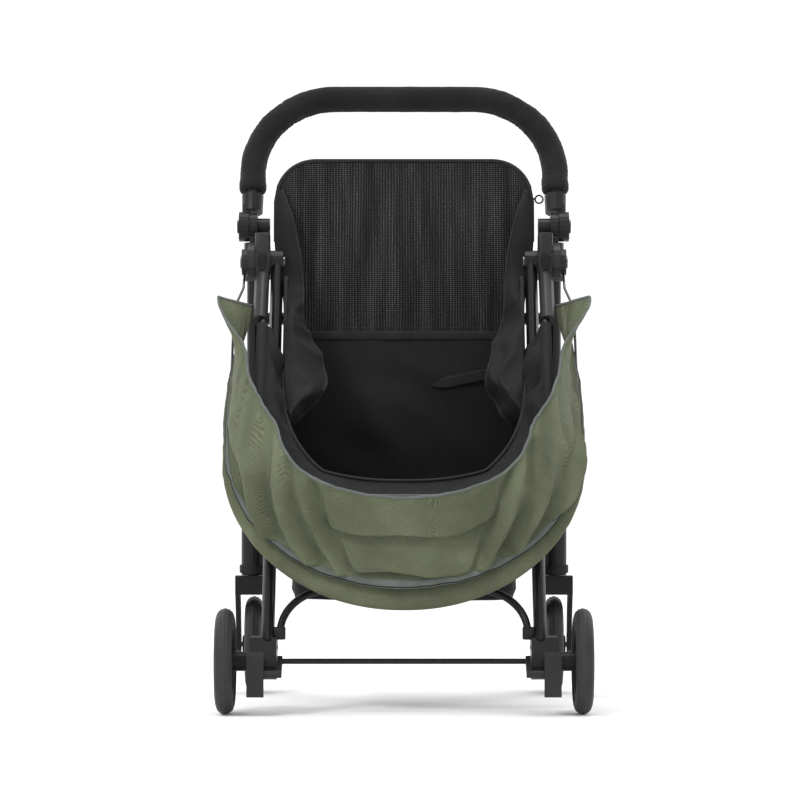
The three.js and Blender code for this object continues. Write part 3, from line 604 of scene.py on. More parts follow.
def tyre_profile():
    """The tyre's section as (radius, x): rounded tread with fine grooves, and ridged side walls."""
    half = TYRE_WIDTH / 2
    inner = WHEEL_RADIUS - TYRE_DEPTH
    shoulder = WHEEL_RADIUS - half
    groove, ridge = 0.9 * MM, 0.5 * MM
    profile = [(inner, -half + 1 * MM), (inner + 1.5 * MM, -half), (inner + 3 * MM, -half - ridge)]
    profile += [(inner + 3.8 * MM, -half - ridge), (inner + 4.4 * MM, -half)]
    for i in range(33):
        turn = -math.pi / 2 + math.pi * i / 32
        reach = half - (groove if i in (9, 13, 19, 23) else 0)
        profile.append((shoulder + reach * math.cos(turn) * 0.998, reach * math.sin(turn)))
    profile += [(inner + 4.4 * MM, half), (inner + 3.8 * MM, half + ridge)]
    profile += [(inner + 3 * MM, half + ridge), (inner + 1.5 * MM, half), (inner, half - 1 * MM)]
    return profile


def add_tyres():
    for kind in ("near", "far"):
        for side, _ in SIDES:
            name = f"{kind}_tyre_{side}"
            points, faces = lathe_x(tyre_profile(), middle(name), 96)
            piece = mesh_object(f"{name}_moulded", points, faces, "tyre_rubber")
            finish_piece(piece, f"{kind}_wheel_{side}", [name])


# ---- bars, bow and small hardware

RIM_BAR_START = 48 * MM           # the tube's ends, inside the sockets
ARCH_RADIUS, ARCH_CORNER = 5.5 * MM, 70 * MM


def add_bars():
    flat = bowed(RIM_BAR, RIM_BAR_START, 160)[:, :2]
    rod("rim_bar_tube", from_hub(flat, RIM_BAR["angle"]), RIM_BAR_RADIUS, "frame_paint", 20,
        "rim_bar", "frame_paint", ["rim_bar"])

    bow = bowed(HOOD_OUTER, HOOD_START, 200)[:, :2]
    ear_x = middle("hood_ear_r")[0]
    arm = [(ear_x, 21 * MM), (ear_x + 1 * MM, 50 * MM), (HOOD_OUTER["half"] - 5 * MM, 74 * MM)]
    route = [(-x, r) for x, r in arm] + [tuple(p) for p in bow[2:-2]] + arm[::-1]
    rod("hood_bow_wire", from_hub(route, HOOD_OUTER["angle"]), BOW_RADIUS, "steel", 12,
        "hood", "steel", ["hood_bow"])

    low, high = box("arch_brace")
    inset = ARCH_RADIUS * 0.6
    legs = np.array([0, low[1] + inset, low[2] + inset])
    top = np.array([0, high[1] - inset, high[2] - inset])
    rise = np.linalg.norm(top - legs)
    shape = bowed({"half": high[0] - ARCH_RADIUS, "reach": rise, "corner": ARCH_CORNER}, 0, 90)[:, :2]
    path = [legs + (top - legs) * (r / rise) + np.array([x, 0, 0]) for x, r in shape]
    rod("arch_brace_tube", path, ARCH_RADIUS, "frame_paint", 16,
        "near_frame", "frame_paint", ["arch_brace"])


def screw_head(name, centre, direction, radius, body):
    """A domed screw head with a shallow round dip in its middle, facing direction."""
    rings = [(radius, 0.0), (radius, 0.5), (radius * 0.85, 1.1), (radius * 0.45, 1.5), (radius * 0.4, 0.9)]
    rings.append((0.0001, 0.8))
    points, faces, sides = [], [], 20
    turn = Vector((0, 0, 1)).rotation_difference(Vector(direction))
    for reach, height in rings:
        for i in range(sides):
            a = 2 * math.pi * i / sides
            spot = Vector((reach * math.cos(a), reach * math.sin(a), height * MM))
            points.append(Vector(centre) + turn @ spot)
    faces += grid_faces(len(rings), sides, wrap=True)
    piece = mesh_object(name, points, faces, "steel")
    piece.data.polygons.foreach_set("use_smooth", [False] * len(piece.data.polygons))
    finish_piece(piece, body)


def knurled_collar(name, centre, radius, height, body):
    """A grip ring with raised ribs round it."""
    ribs, steps = 36, 4
    levels = [(0, 0.0), (1.2, 1.0), (height / MM - 1.2, 1.0), (height / MM, 0.0)]
    points = []
    for z, swell in levels:
        for i in range(ribs * steps):
            a = 2 * math.pi * i / (ribs * steps)
            rib = 0.9 * MM if (i % steps) in (1, 2) else 0.2 * MM
            reach = radius + swell * rib
            points.append(centre + np.array([reach * math.cos(a), reach * math.sin(a), z * MM]))
    faces = grid_faces(len(levels), ribs * steps, wrap=True)
    finish_piece(mesh_object(name, points, faces, "black_plastic"), body)


CORNER_STEPS = 6


def rounded_ring(low, high, z, corner):
    """A ring round a rectangle with round corners, at height z."""
    right, left = high[0] - corner, low[0] + corner
    back, front = high[1] - corner, low[1] + corner
    points = []
    for index, (x, y) in enumerate(((right, back), (left, back), (left, front), (right, front))):
        for step in range(CORNER_STEPS):
            a = math.pi / 2 * (index + step / (CORNER_STEPS - 1))
            points.append((x + corner * math.cos(a), y + corner * math.sin(a), z))
    return points


def moulded_block(name, low, high, corner, finish, top_taper=0.0):
    """A block with round upright edges and softly rounded ends; its top can lean back by top_taper."""
    edge = min(corner, 1.6 * MM)
    levels = [(low[2], edge), (low[2] + edge * 0.3, edge * 0.3), (low[2] + edge, 0.0)]
    levels += [(high[2] - edge, 0.0), (high[2] - edge * 0.3, edge * 0.3), (high[2], edge)]
    rings = []
    for z, inset in levels:
        lean = top_taper if z > (low[2] + high[2]) / 2 else 0.0
        corner_low = (low[0] + inset, low[1] + inset + lean)
        corner_high = (high[0] - inset, high[1] - inset - lean)
        rings += rounded_ring(corner_low, corner_high, z, corner)
    return mesh_object(name, rings, capped_faces(len(levels), 4 * CORNER_STEPS), finish)


def mirrored_block(name, sign, inner, outer, front_low, back_high, body, slot, top_taper=0.0):
    """A moulded block from |x| inner to outer, on the side of sign; the other corners are (y, z)."""
    near, far = sorted((sign * inner, sign * outer))
    block = moulded_block(name, (near, *front_low), (far, *back_high), 4 * MM, slot, top_taper)
    finish_piece(block, body)


def faces_in_x(name, sign):
    """The |x| of a node's inner and outer face, on the side of sign."""
    return sorted(abs(face[0]) for face in box(f"{name}_{'r' if sign > 0 else 'l'}"))


HOUSING_OUTER = 225.6 * MM        # flush with the hub's socket
HOUSING_BELOW, HOUSING_ABOVE = 22 * MM, 44 * MM
HOUSING_FRONT, HOUSING_BACK = 27.15 * MM, 28 * MM
RIB_RADIUS = 1.3 * MM             # the ribs stay clear of the housing when the latch is pressed in
RIB_STEPS = 14


def add_hub_housings():
    """The tall moulded housing of each folding hub."""
    for side, sign in SIDES:
        inner, _ = faces_in_x("rim_bar_socket", sign)
        mirrored_block(f"hub_housing_{side}", sign, inner + 0.5 * MM, HOUSING_OUTER,
                       (HUB[1] - HOUSING_FRONT, HUB[2] - HOUSING_BELOW),
                       (HUB[1] + HOUSING_BACK, HUB[2] + HOUSING_ABOVE), "rim_bar", "grey_plastic", 5 * MM)


def add_latch_ribs():
    ends = np.linspace(-1, 1, RIB_STEPS) ** 8
    radii = RIB_RADIUS * np.sqrt(np.clip(1 - ends, 0.02, 1))
    for side, _ in SIDES:
        low, high = box(f"rim_latch_{side}")
        for index, share in enumerate((0.24, 0.76)):
            foot = np.array([low[0] + (high[0] - low[0]) * share, low[1] - 0.5 * MM, low[2] + 1.5 * MM])
            path = np.linspace(foot, foot + np.array([0, 0, high[2] - low[2] - 3 * MM]), RIB_STEPS)
            rod(f"latch_rib_{index}_{side}", path, radii, "black_plastic", 14,
                f"rim_latch_{side}", "black_plastic")


def add_arch_feet():
    """The clamps that hold the ends of the arch brace to the near legs."""
    low, high = box("arch_brace")
    for side, sign in SIDES:
        leg_inner, _ = faces_in_x("near_leg", sign)
        mirrored_block(f"arch_foot_{side}", sign, high[0] - 13 * MM, leg_inner + 3 * MM,
                       (low[1] - 3 * MM, low[2] - 9 * MM), (low[1] + 14 * MM, low[2] + 9 * MM),
                       "near_frame", "black_plastic")


COLLAR_FOOT, COLLAR_HEIGHT = 3.4 * MM, 12.4 * MM
SOCKET_SCREW_RISE = 52 * MM       # above the socket's foot
KNUCKLE_SCREW_RING = 17.5 * MM    # from the handle's pivot out to its screws
SOCKET_SCREW, BRACKET_SCREW, KNUCKLE_SCREW = 3 * MM, 3.4 * MM, 2 * MM


def add_hardware():
    """The casters' grip rings, and the screws of the sockets, brackets and handle knuckles."""
    for side, sign in SIDES:
        low, high = box(f"caster_socket_{side}")
        centre = (low + high) / 2
        base = np.array([centre[0], centre[1], low[2] + COLLAR_FOOT])
        knurled_collar(f"caster_collar_{side}", base, (high[0] - low[0]) / 2, COLLAR_HEIGHT, "main_frame")
        front = (centre[0], low[1] + 1.4 * MM, low[2] + SOCKET_SCREW_RISE)
        screw_head(f"socket_screw_{side}", front, (0, -1, 0), SOCKET_SCREW, "main_frame")
        low, high = box(f"wheel_bracket_{side}")
        inner = low[0] if sign > 0 else high[0]
        for index, rise in enumerate((0.25, 0.75)):
            spot = (inner, (low[1] + high[1]) / 2 + 4 * MM * rise, low[2] + (high[2] - low[2]) * rise)
            screw_head(f"bracket_screw_{index}_{side}", spot, (-sign, 0, 0), BRACKET_SCREW, "near_frame")
        _, outer = faces_in_x("handle_knuckle", sign)
        for index, turn in enumerate((0.6, 2.7, 4.6)):
            rim = np.array([0, math.cos(turn), math.sin(turn)]) * KNUCKLE_SCREW_RING
            spot = np.array([sign * (outer - 0.2 * MM), HANDLE_PIVOT[1], HANDLE_PIVOT[2]]) + rim
            screw_head(f"knuckle_screw_{index}_{side}", spot, (sign, 0, 0), KNUCKLE_SCREW, "handle")


# ---- handle grip

def handle_point(x, way):
    lean = HANDLE["lean"]
    return np.array([x, HANDLE_PIVOT[1] + way * math.sin(lean), HANDLE_PIVOT[2] + way * math.cos(lean)])


GRIP_STEPS, GRIP_SIDES = 420, 40
GRIP_SEAMS = (0.225, 0.775)
GRIP_PUCKERS = 92
GRIP_END_RINGS = (0, 1, 3, 8, 16)        # rings counted from an end, and the radius at each
GRIP_END_RADII = (15.5 * MM, 19.8 * MM, GRIP_RADIUS, GRIP_RADIUS, GRIP_RADIUS - 1.0 * MM)


def grip_rise(path, rings, along, ends):
    """How far each point of the grip stands out: puckers inside the bends, soft wrinkles and seams."""
    bend = np.exp(-((np.minimum(np.abs(along - 0.235), np.abs(along - 0.765))) / 0.07) ** 2)[:, None]
    inner = smooth_step((path.mean(axis=0) - rings) @ np.array([0, 0, 1]) * 9 + 0.55)
    pucker = np.sin(along * 2 * math.pi * GRIP_PUCKERS)[:, None] * (0.25 + 0.75 * bend) * inner
    soft = wrinkle(rings, 46, 3.1) * 0.9 + wrinkle(rings * np.array([1, 1, 2.2]), 90, 8.4) * 0.5
    arms = smooth_step((0.3 - np.minimum(along, 1 - along)) / 0.14)[:, None]
    fade = smooth_step(ends / 10)[:, None]
    rise = (0.45 * pucker + soft * (0.35 + 0.9 * bend + 0.6 * arms)) * fade * MM
    for spot in GRIP_SEAMS:
        rise -= 1.2 * MM * np.exp(-((along - spot) * len(along) / 1.4) ** 2)[:, None]
    return rise


def add_grip():
    shape = bowed(HANDLE, GRIP_START, GRIP_STEPS)
    path = np.array([handle_point(x, r) for x, r in shape[:, :2]])
    along = np.linspace(0, 1, GRIP_STEPS)
    ends = np.minimum(along, 1 - along) * GRIP_STEPS
    rings = sweep_points(path, np.interp(ends, GRIP_END_RINGS, GRIP_END_RADII), GRIP_SIDES)
    outward = rings - rings.mean(axis=1)[:, None, :]
    outward /= np.linalg.norm(outward, axis=2)[:, :, None]
    rings = rings + outward * grip_rise(path, rings, along, ends)[:, :, None]
    faces = capped_faces(GRIP_STEPS, GRIP_SIDES)
    grip = mesh_object("grip_sleeve", rings.reshape(-1, 3), faces, "grip_foam")
    finish_piece(grip, "handle", ["grip_cover"])

    stitch = [ring[np.argmin(ring[:, 2] + 0.35 * ring[:, 1])] for ring in rings[12:-12:4]]
    rod("grip_stitching", stitch, 0.55 * MM, "black_binding", 6, "handle", "grip_foam")
    for index, spot in enumerate(GRIP_SEAMS):
        ring = rings[int(spot * (GRIP_STEPS - 1))]
        rod(f"grip_seam_{index}", ring, 0.8 * MM, "black_binding", 6, "handle", "grip_foam", closed=True)


# ---- cabin fabric

TOP_LINE = np.array([(-0.24, 0.318), (-0.19, 0.330), (-0.15, 0.345), (-0.06, 0.430), (0.025, 0.520),
                     (0.06, 0.588), (0.085, 0.632), (0.11, 0.640), (0.15, 0.632), (0.17, 0.560)])


CLOTH_HALF = 1.5 * MM             # cabin cloth runs this far inside the cabin shell's box


def cabin_walls():
    """The wall round the cabin: rows from the floor up to the mouth's edge, columns round the mouth."""
    depth = CABIN_HIGH[1] - CABIN_LOW[1] - CLOTH_HALF
    half = CABIN_HIGH[0] - CLOTH_HALF
    plan = bowed({"half": half, "reach": depth, "corner": CABIN_CORNER}, 0, 150)
    x, y = plan[:, 0], CABIN_HIGH[1] - plan[:, 1]
    top = np.interp(y, TOP_LINE[:, 0], TOP_LINE[:, 1])
    rows = 40
    share = np.linspace(0, 1, rows)[:, None]
    z = CABIN_LOW[2] + 3 * MM + share * (top - CABIN_LOW[2] - 3 * MM)[None, :]
    grid = np.stack([np.broadcast_to(x, z.shape), np.broadcast_to(y, z.shape), z], axis=2).copy()
    inward = np.stack([-plan[:, 2], plan[:, 3], np.zeros(len(plan))], axis=1)
    sag = np.sin(share * math.pi) * (2.2 + 3.0 * wrinkle(grid, 9, 1.7)) * MM
    folds = np.abs(wrinkle(grid * np.array([1, 1, 0.5]), 22, 6.2)) * 5 * MM * np.sin(share * math.pi)
    tuck = smooth_step((0.10 - share) / 0.10) ** 2 * 9 * MM
    grid += inward[None] * (np.clip(sag, 0, None) + folds + tuck)[:, :, None]
    return grid


def cabin_back():
    half = CABIN_HIGH[0] - CLOTH_HALF
    x = np.linspace(-half, half, 70)
    z = np.linspace(CABIN_LOW[2] + 3 * MM, PANEL_LOW[2] + 2 * MM, 46)
    grid = np.stack(np.broadcast_arrays(x[None, :], CABIN_HIGH[1] - CLOTH_HALF, z[:, None]), axis=2).copy()
    rise = (z - z[0]) / (z[-1] - z[0])
    edge = np.sin((x / half + 1) * math.pi / 2)[None, :] * np.sin(rise * math.pi)[:, None]
    slant = np.sin((grid[..., 0] * 0.8 + grid[..., 2] * 1.5) * 46) * wrinkle(grid, 7, 2.9)
    grid[..., 1] -= edge * (7 + 8 * wrinkle(grid * np.array([1, 1, 1.6]), 9, 4.4) + 5 * slant) * MM
    return grid


def cabin_floor():
    half, depth = CABIN_HIGH[0] - 2 * MM, CABIN_HIGH[1] - CABIN_LOW[1] - 2 * MM
    grid = []
    for share in np.linspace(0, 1, 14):
        size = {"half": half * (0.02 + 0.98 * share), "reach": depth * (0.5 + 0.5 * share),
                "corner": min(CABIN_CORNER, half) * (0.02 + 0.95 * share)}
        x, way = bowed(size, 0, 90)[:, :2].T
        grid.append(np.stack([x, CABIN_HIGH[1] - way, np.full(len(x), CABIN_LOW[2] + 3 * MM)], axis=1))
    return np.array(grid)


def add_cabin():
    grids = [cabin_walls(), cabin_back(), cabin_floor()]
    walls = grids[0]
    shell = cloth_sheet("cabin_fabric", grids, "black_fabric", 2 * MM)
    soft_fabric(shell, ["cabin_shell"])
    black_trim("cabin_edge_binding", walls[-1], 2.6 * MM, 10, squash=0.8)
    black_trim("cabin_base_piping", walls[3] * np.array([1.004, 1, 1]), 2.2 * MM, 8)
    add_mouth_edge(walls[-1])


MOUTH_COLUMNS = 160
SLEEVE_WRAP_ROWS, SLEEVE_HANG_ROWS = 18, 25


def mouth_grid(bar, out, up, cabin_edge):
    """Rows of the mouth's sleeve: round the rim bar, then back in loose folds to the cabin's edge."""
    reach = RIM_BAR_RADIUS + 1.3 * MM
    turns = np.linspace(-2.3, 2.9, SLEEVE_WRAP_ROWS)
    rows = [bar + reach * (math.cos(a) * out + math.sin(a) * up) for a in turns]
    front = cabin_edge[cabin_edge[:, 1] < 0.03]
    steps = np.linspace(0, 1, MOUTH_COLUMNS)
    spots = np.linspace(0, 1, len(front))
    edge = np.stack([np.interp(steps, spots, front[:, i]) for i in range(3)], axis=1)
    edge[:, 2] -= 2 * MM
    last = rows[-1]
    for share in np.linspace(0, 1, SLEEVE_HANG_ROWS + 1)[1:]:
        hang = 9 * MM * math.sin(share * math.pi)
        rows.append(last * (1 - share) + edge * share - np.array([0, 0, hang]))
    grid = np.array(rows)
    past_bar = (np.arange(len(rows)) - SLEEVE_WRAP_ROWS + 1) / SLEEVE_HANG_ROWS
    loose = np.sin(np.clip(past_bar, 0, 1) * math.pi)[:, None]
    high = smooth_step((grid[..., 2] - 0.34) / 0.14)
    crease = 0.28 - np.abs(wrinkle(grid * np.array([1, 1.3, 0.8]), 17, 2.0))
    grid[..., 2] += loose * (crease * (8 + 30 * high) + wrinkle(grid, 50, 4.0) * 2.5) * MM
    grid[..., 0] -= np.sign(grid[..., 0]) * loose * high * (crease * 26 + 4) * MM
    return grid


PIPING_HALF = 150 * MM            # how far the grey piping runs to each side


def add_mouth_edge(cabin_edge):
    """The cloth round the rim bar and back to the cabin's edge, with grey piping along the bar's front."""
    angle = RIM_BAR["angle"]
    flat = bowed(RIM_BAR, RIM_SOCKET_END + 10 * MM, MOUTH_COLUMNS)
    bar = from_hub(flat[:, :2], angle)
    out = np.stack([flat[:, 2], -flat[:, 3] * math.sin(angle), -flat[:, 3] * math.cos(angle)], axis=1)
    up = np.array([0, -math.cos(angle), math.sin(angle)])
    grid = mouth_grid(bar, out, up, cabin_edge)
    sleeve = cloth_sheet("mouth_sleeve", [grid], "black_fabric", 1.0 * MM)
    piping_path = bar + up * (RIM_BAR_RADIUS + 2.7 * MM) - out * 1 * MM
    front_of_bar = np.abs(bar[:, 0]) < PIPING_HALF
    rod("mouth_piping", piping_path[front_of_bar], 2.2 * MM, "grey_binding", 10, "rim_bar", "green_fabric")
    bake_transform(sleeve)


# ---- back panel

PANEL_ROWS, PANEL_COLUMNS = 80, 90
PANEL_CORNER = 64 * MM


def panel_surface():
    """Rows from the bottom to the top; the outline widens upwards and has rounded top corners."""
    v = np.linspace(0, 1, PANEL_ROWS)[:, None]
    u = np.linspace(-1, 1, PANEL_COLUMNS)[None, :]
    height = PANEL_HIGH[2] - PANEL_LOW[2] - 6 * MM
    top_half, foot_half = PANEL_HIGH[0] - 3 * MM, CABIN_HIGH[0] - 4 * MM
    half = foot_half + (top_half - foot_half) * np.clip(v / 0.7, 0, 1)
    x = u * half
    reach = np.clip(np.abs(x) - (top_half - PANEL_CORNER), 0, PANEL_CORNER) / PANEL_CORNER
    drop = PANEL_CORNER * (1 - np.sqrt(np.clip(1 - reach ** 2.2, 0, 1)))
    z = PANEL_LOW[2] + 3 * MM + v * (height - drop)
    lean = (PANEL_HIGH[1] - PANEL_LOW[1] - 6 * MM) / height
    y = PANEL_LOW[1] + 3 * MM + (z - PANEL_LOW[2]) * lean
    grid = np.stack(np.broadcast_arrays(x, y, z), axis=2).copy()
    ripple = wrinkle(grid * np.array([2.6, 1, 0.5]), 10, 9.3)
    belly = (1 - u ** 2) * np.sin(v * math.pi)
    grid[..., 1] -= (4.5 * belly + 2.4 * ripple * (1 - v) * (1 - u ** 4)) * MM
    return grid


def add_back_panel():
    grid = panel_surface()
    panel = cloth_sheet("panel_mesh", [grid], "mesh_fabric", 2.0 * MM)
    finish_piece(panel, "main_frame", ["back_panel"])
    around = np.concatenate([grid[:, 0], grid[-1, 1:-1], grid[::-1, -1]])
    black_trim("panel_binding", around, 3.2 * MM, 12)
    foot = grid[1] + np.array([0, -2.5 * MM, 1 * MM])
    turns = np.linspace(0, math.pi, 9)
    fold = np.array([foot + np.array([0, -1.0 * MM * math.sin(a), 6.5 * MM * math.cos(a)]) for a in turns])
    soft_fabric(cloth_sheet("panel_foot_binding", [fold], "black_binding", 1 * MM, 0))


# ---- black side gussets

def spline(points, count):
    """A smooth curve through points, as count points."""
    points = np.asarray(points, dtype=float)
    padded = np.vstack([2 * points[0] - points[1], points, 2 * points[-1] - points[-2]])
    out = []
    for value in np.linspace(0, len(points) - 1 - 1e-6, count):
        i, f = int(value), value - int(value)
        a, b, c, d = padded[i:i + 4]
        curve = (2 * a - 5 * b + 4 * c - d) * f ** 2 + (3 * b - a - 3 * c + d) * f ** 3
        out.append(0.5 * (2 * b + (c - a) * f + curve))
    return np.array(out)


GUSSET_OUTER = [(0.194, 0.192, 0.778), (0.200, 0.182, 0.735), (0.198, 0.168, 0.68), (0.190, 0.136, 0.635),
                (0.183, 0.086, 0.605), (0.180, 0.036, 0.550), (0.177, -0.010, 0.492), (0.174, -0.050, 0.436)]
GUSSET_INNER = [(0.188, 0.186, 0.778), (0.172, 0.164, 0.735), (0.160, 0.148, 0.68), (0.155, 0.132, 0.630),
                (0.152, 0.094, 0.572), (0.132, 0.050, 0.520), (0.120, 0.010, 0.462), (0.160, -0.036, 0.412)]


GUSSET_ROWS, GUSSET_COLUMNS = 110, 44


def gusset_grid(seed):
    """Rows from the top corner of the panel down to the rim bar, folded more and more on the way."""
    outer, inner = spline(GUSSET_OUTER, GUSSET_ROWS), spline(GUSSET_INNER, GUSSET_ROWS)
    across = np.linspace(0, 1, GUSSET_COLUMNS)[None, :, None]
    grid = outer[:, None] * (1 - across) + inner[:, None] * across
    down = np.linspace(0, 1, GUSSET_ROWS)[:, None]
    share = across[..., 0]
    edge = np.sin(share * math.pi * 0.5)
    belly = np.sin(share * math.pi) * (6 + 14 * smooth_step((down - 0.35) / 0.4))
    phase = down * 17 + share * 3.4 + seed + 1.2 * wrinkle(grid, 8, seed)
    ripple = (1 - 2 * np.abs(np.sin(phase / 2))) * smooth_step((down - 0.38) / 0.25) * (0.25 + share) * 15
    crumple = (0.3 - np.abs(wrinkle(grid, 21, seed + 3))) * (2.0 + 24.0 * smooth_step((down - 0.36) / 0.3))
    sway = np.cos(phase * 0.8) * smooth_step((down - 0.45) / 0.25) * 6 + crumple * 0.5
    grid[..., 1] -= (belly + (ripple + crumple) * edge) * MM
    grid[..., 0] -= sway * edge * MM
    return grid


def add_gussets():
    for side, sign in SIDES:
        grid = gusset_grid(2.0 if sign > 0 else 7.0) * np.array([sign, 1, 1])
        hung_cloth(f"side_gusset_{side}", grid, 1.3 * MM)
        black_trim(f"gusset_edge_{side}", grid[:, -1], 2.1 * MM, 8)


# ---- floor pad, strap, loop and basket

PAD_UNDER = [(0.02, 0.0), (0.5, 0.0), (0.9, 0.0), (0.975, 0.06), (0.995, 0.16)]
PAD_OVER = [(1.0, 0.30), (1.0, 0.62), (0.985, 0.84), (0.955, 0.96), (0.90, 1.0), (0.8, 1.0), (0.66, 1.0),
            (0.5, 1.0), (0.34, 1.0), (0.18, 1.0), (0.02, 1.0)]
PAD_EDGE_ROWS = 4
QUILT_PITCH = 55 * MM


def add_floor_pad():
    """The quilted floor cushion, as rings of (share of its outline, share of its thickness)."""
    low, high = box("floor_pad")
    half, depth, thick = high[0], high[1] - low[1], high[2] - low[2]
    rings = []
    for share, height in PAD_UNDER + PAD_OVER:
        back = (1 - share) * depth * 0.5
        size = {"half": half * share, "reach": depth * share,
                "corner": min(CABIN_CORNER, half * 0.97) * share * 0.97}
        shape = bowed(size, 0, 120)
        y = high[1] - back - shape[:, 1]
        row = np.stack([shape[:, 0], y, np.full(len(y), low[2] + thick * height)], axis=1)
        close = np.linspace(row[-1], row[0], 30)[1:-1]
        rings.append(np.vstack([row, close]))
    grid = np.array(rings)
    top = grid[len(PAD_UNDER) + PAD_EDGE_ROWS:]
    quilt = np.prod(np.abs(np.sin(top[..., :2] * math.pi / QUILT_PITCH)) ** 0.4, axis=2)
    top[..., 2] -= (1 - quilt) * 2.6 * MM
    faces = capped_faces(len(grid), grid.shape[1])
    pad = mesh_object("floor_cushion", grid.reshape(-1, 3), faces, "black_fabric")
    finish_piece(pad, "floor", ["floor_pad"])


def add_tether():
    low, high = box("tether_strap")
    count, half = 60, 8.6 * MM
    x = np.linspace(low[0] + 2 * MM, high[0] - 2 * MM, count)
    share = np.linspace(0, 1, count)
    z = low[2] + half + 2 * MM + share * (high[2] - low[2] - 2 * half - 4 * MM)
    y = np.full(count, low[1] - 1.0 * MM) - np.sin(share * math.pi) * 5 * MM
    width = half * np.interp(share, [0, 0.16, 1], [0.12, 1, 1])
    across = np.linspace(-1, 1, 9)[:, None]
    grid = np.stack(np.broadcast_arrays(x[None], y[None], z[None] + across * width[None]), axis=2)
    hung_cloth("tether_webbing", grid, 1.8 * MM, ["tether_strap"], "black_binding", 0)


def add_loop():
    """The elastic loop at the panel's corner, and the short link that holds it."""
    low, high = box("elastic_loop")
    centre, reach = (low + high) / 2, (high[0] - low[0]) / 2 - 1.3 * MM
    turns = np.linspace(0, 2 * math.pi, 48, endpoint=False)
    ring = np.stack([reach * np.cos(turns), 0.8 * MM * np.sin(2 * turns), reach * np.sin(turns)], axis=1)
    black_trim("elastic_cord_loop", centre + ring, 1.3 * MM, 10, ["elastic_loop"], closed=True)
    start = np.array([PANEL_HIGH[0] - 5 * MM, centre[1] + 2 * MM, centre[2] + 6 * MM])
    end = np.array([low[0] + 2 * MM, centre[1], centre[2] + 2 * MM])
    share = np.linspace(0, 1, 14)[:, None]
    link = start + (end - start) * share - np.array([0, 0, 3 * MM]) * np.sin(share * math.pi)
    black_trim("elastic_cord_link", link, 1.5 * MM, 10)


BASKET_POINTS = 160
BASKET_STRAPS = (0.12, 0.38, 0.62, 0.88)


def basket_outline():
    """A rounded rectangle round the basket, just inside its box."""
    centre, half = (BASKET_LOW + BASKET_HIGH) / 2, (BASKET_HIGH - BASKET_LOW) / 2 - 2 * MM
    turns = np.linspace(0, 2 * math.pi, BASKET_POINTS, endpoint=False)
    unit = np.stack([np.cos(turns), np.sin(turns)], axis=1)
    flat = centre[:2] + half[:2] * np.sign(unit) * np.abs(unit) ** 0.34
    return np.column_stack([flat, np.zeros(BASKET_POINTS)])


def basket_grid():
    """Rows from the middle of the floor out to its edge, and up the wall to the rim."""
    outline = basket_outline()
    centre = outline.mean(axis=0)
    front_to_back = [BASKET_LOW[1], BASKET_HIGH[1] - 0.06, BASKET_HIGH[1]]
    rim = np.interp(outline[:, 1], front_to_back, [0.198, 0.214, BASKET_HIGH[2]])
    rows = []
    for share in np.linspace(0.002, 0.92, 16):
        row = centre + (outline - centre) * share
        row[:, 2] = BASKET_LOW[2] + 4 * MM + 2.5 * MM * wrinkle(row, 14, 5.5)
        rows.append(row)
    for share in np.linspace(0, 1, 22):
        swell = 1 - 0.045 * (1 - smooth_step(share / 0.35)) - 0.018 * math.sin(share * math.pi)
        row = centre + (outline - centre) * swell
        row[:, 2] = BASKET_LOW[2] + 6 * MM + share * (rim - BASKET_LOW[2] - 9 * MM)
        ripple = wrinkle(row * np.array([1, 1, 0.6]), 22, 1.1) * 3 * MM * math.sin(share * math.pi)
        row[:, :2] *= 1 - ripple[:, None] / 0.17
        rows.append(row)
    grid = np.array(rows)
    return np.concatenate([grid, grid[:, :1]], axis=1)


def add_basket():
    """The basket's tub, its rim binding, and four straps up to the cabin's floor."""
    grid = basket_grid()
    hung_cloth("basket_fabric", grid, 1.8 * MM, ["storage_basket"])
    black_trim("basket_rim_binding", grid[-1, :-1], 2.6 * MM, 10, closed=True)
    for index, turn in enumerate(BASKET_STRAPS):
        foot = grid[-1, int(turn * BASKET_POINTS)]
        top = np.array([foot[0] * 0.99, foot[1], CABIN_LOW[2] + 4 * MM])
        path = np.linspace(foot - np.array([0, 0, 12 * MM]), top, 12)
        strap = np.array([path + np.array([0, w, 0]) for w in np.linspace(-9 * MM, 9 * MM, 5)])
        soft_fabric(cloth_sheet(f"basket_strap_{index}", [strap], "black_binding", 1.4 * MM, 0))


# ---- hood

HOOD_ROWS, HOOD_COLUMNS = 104, 330
FOLD_PITCH = 31 * MM
ZIP_BAND = (0.20, 0.285)          # the rows of the zip band, as shares of the hood's rows


def pleat(phase, edge):
    """A lopsided fold from 0 to 1 and back over each whole turn of phase: steep on its outer side."""
    part = phase - np.floor(phase)
    return np.minimum(smooth_step(part / edge), smooth_step((1 - part) / (1 - edge)))


def swell(v, peak, width):
    """A bump from 0 to 1 and back across the hood's rows."""
    return np.exp(-((v - peak) / width) ** 2)


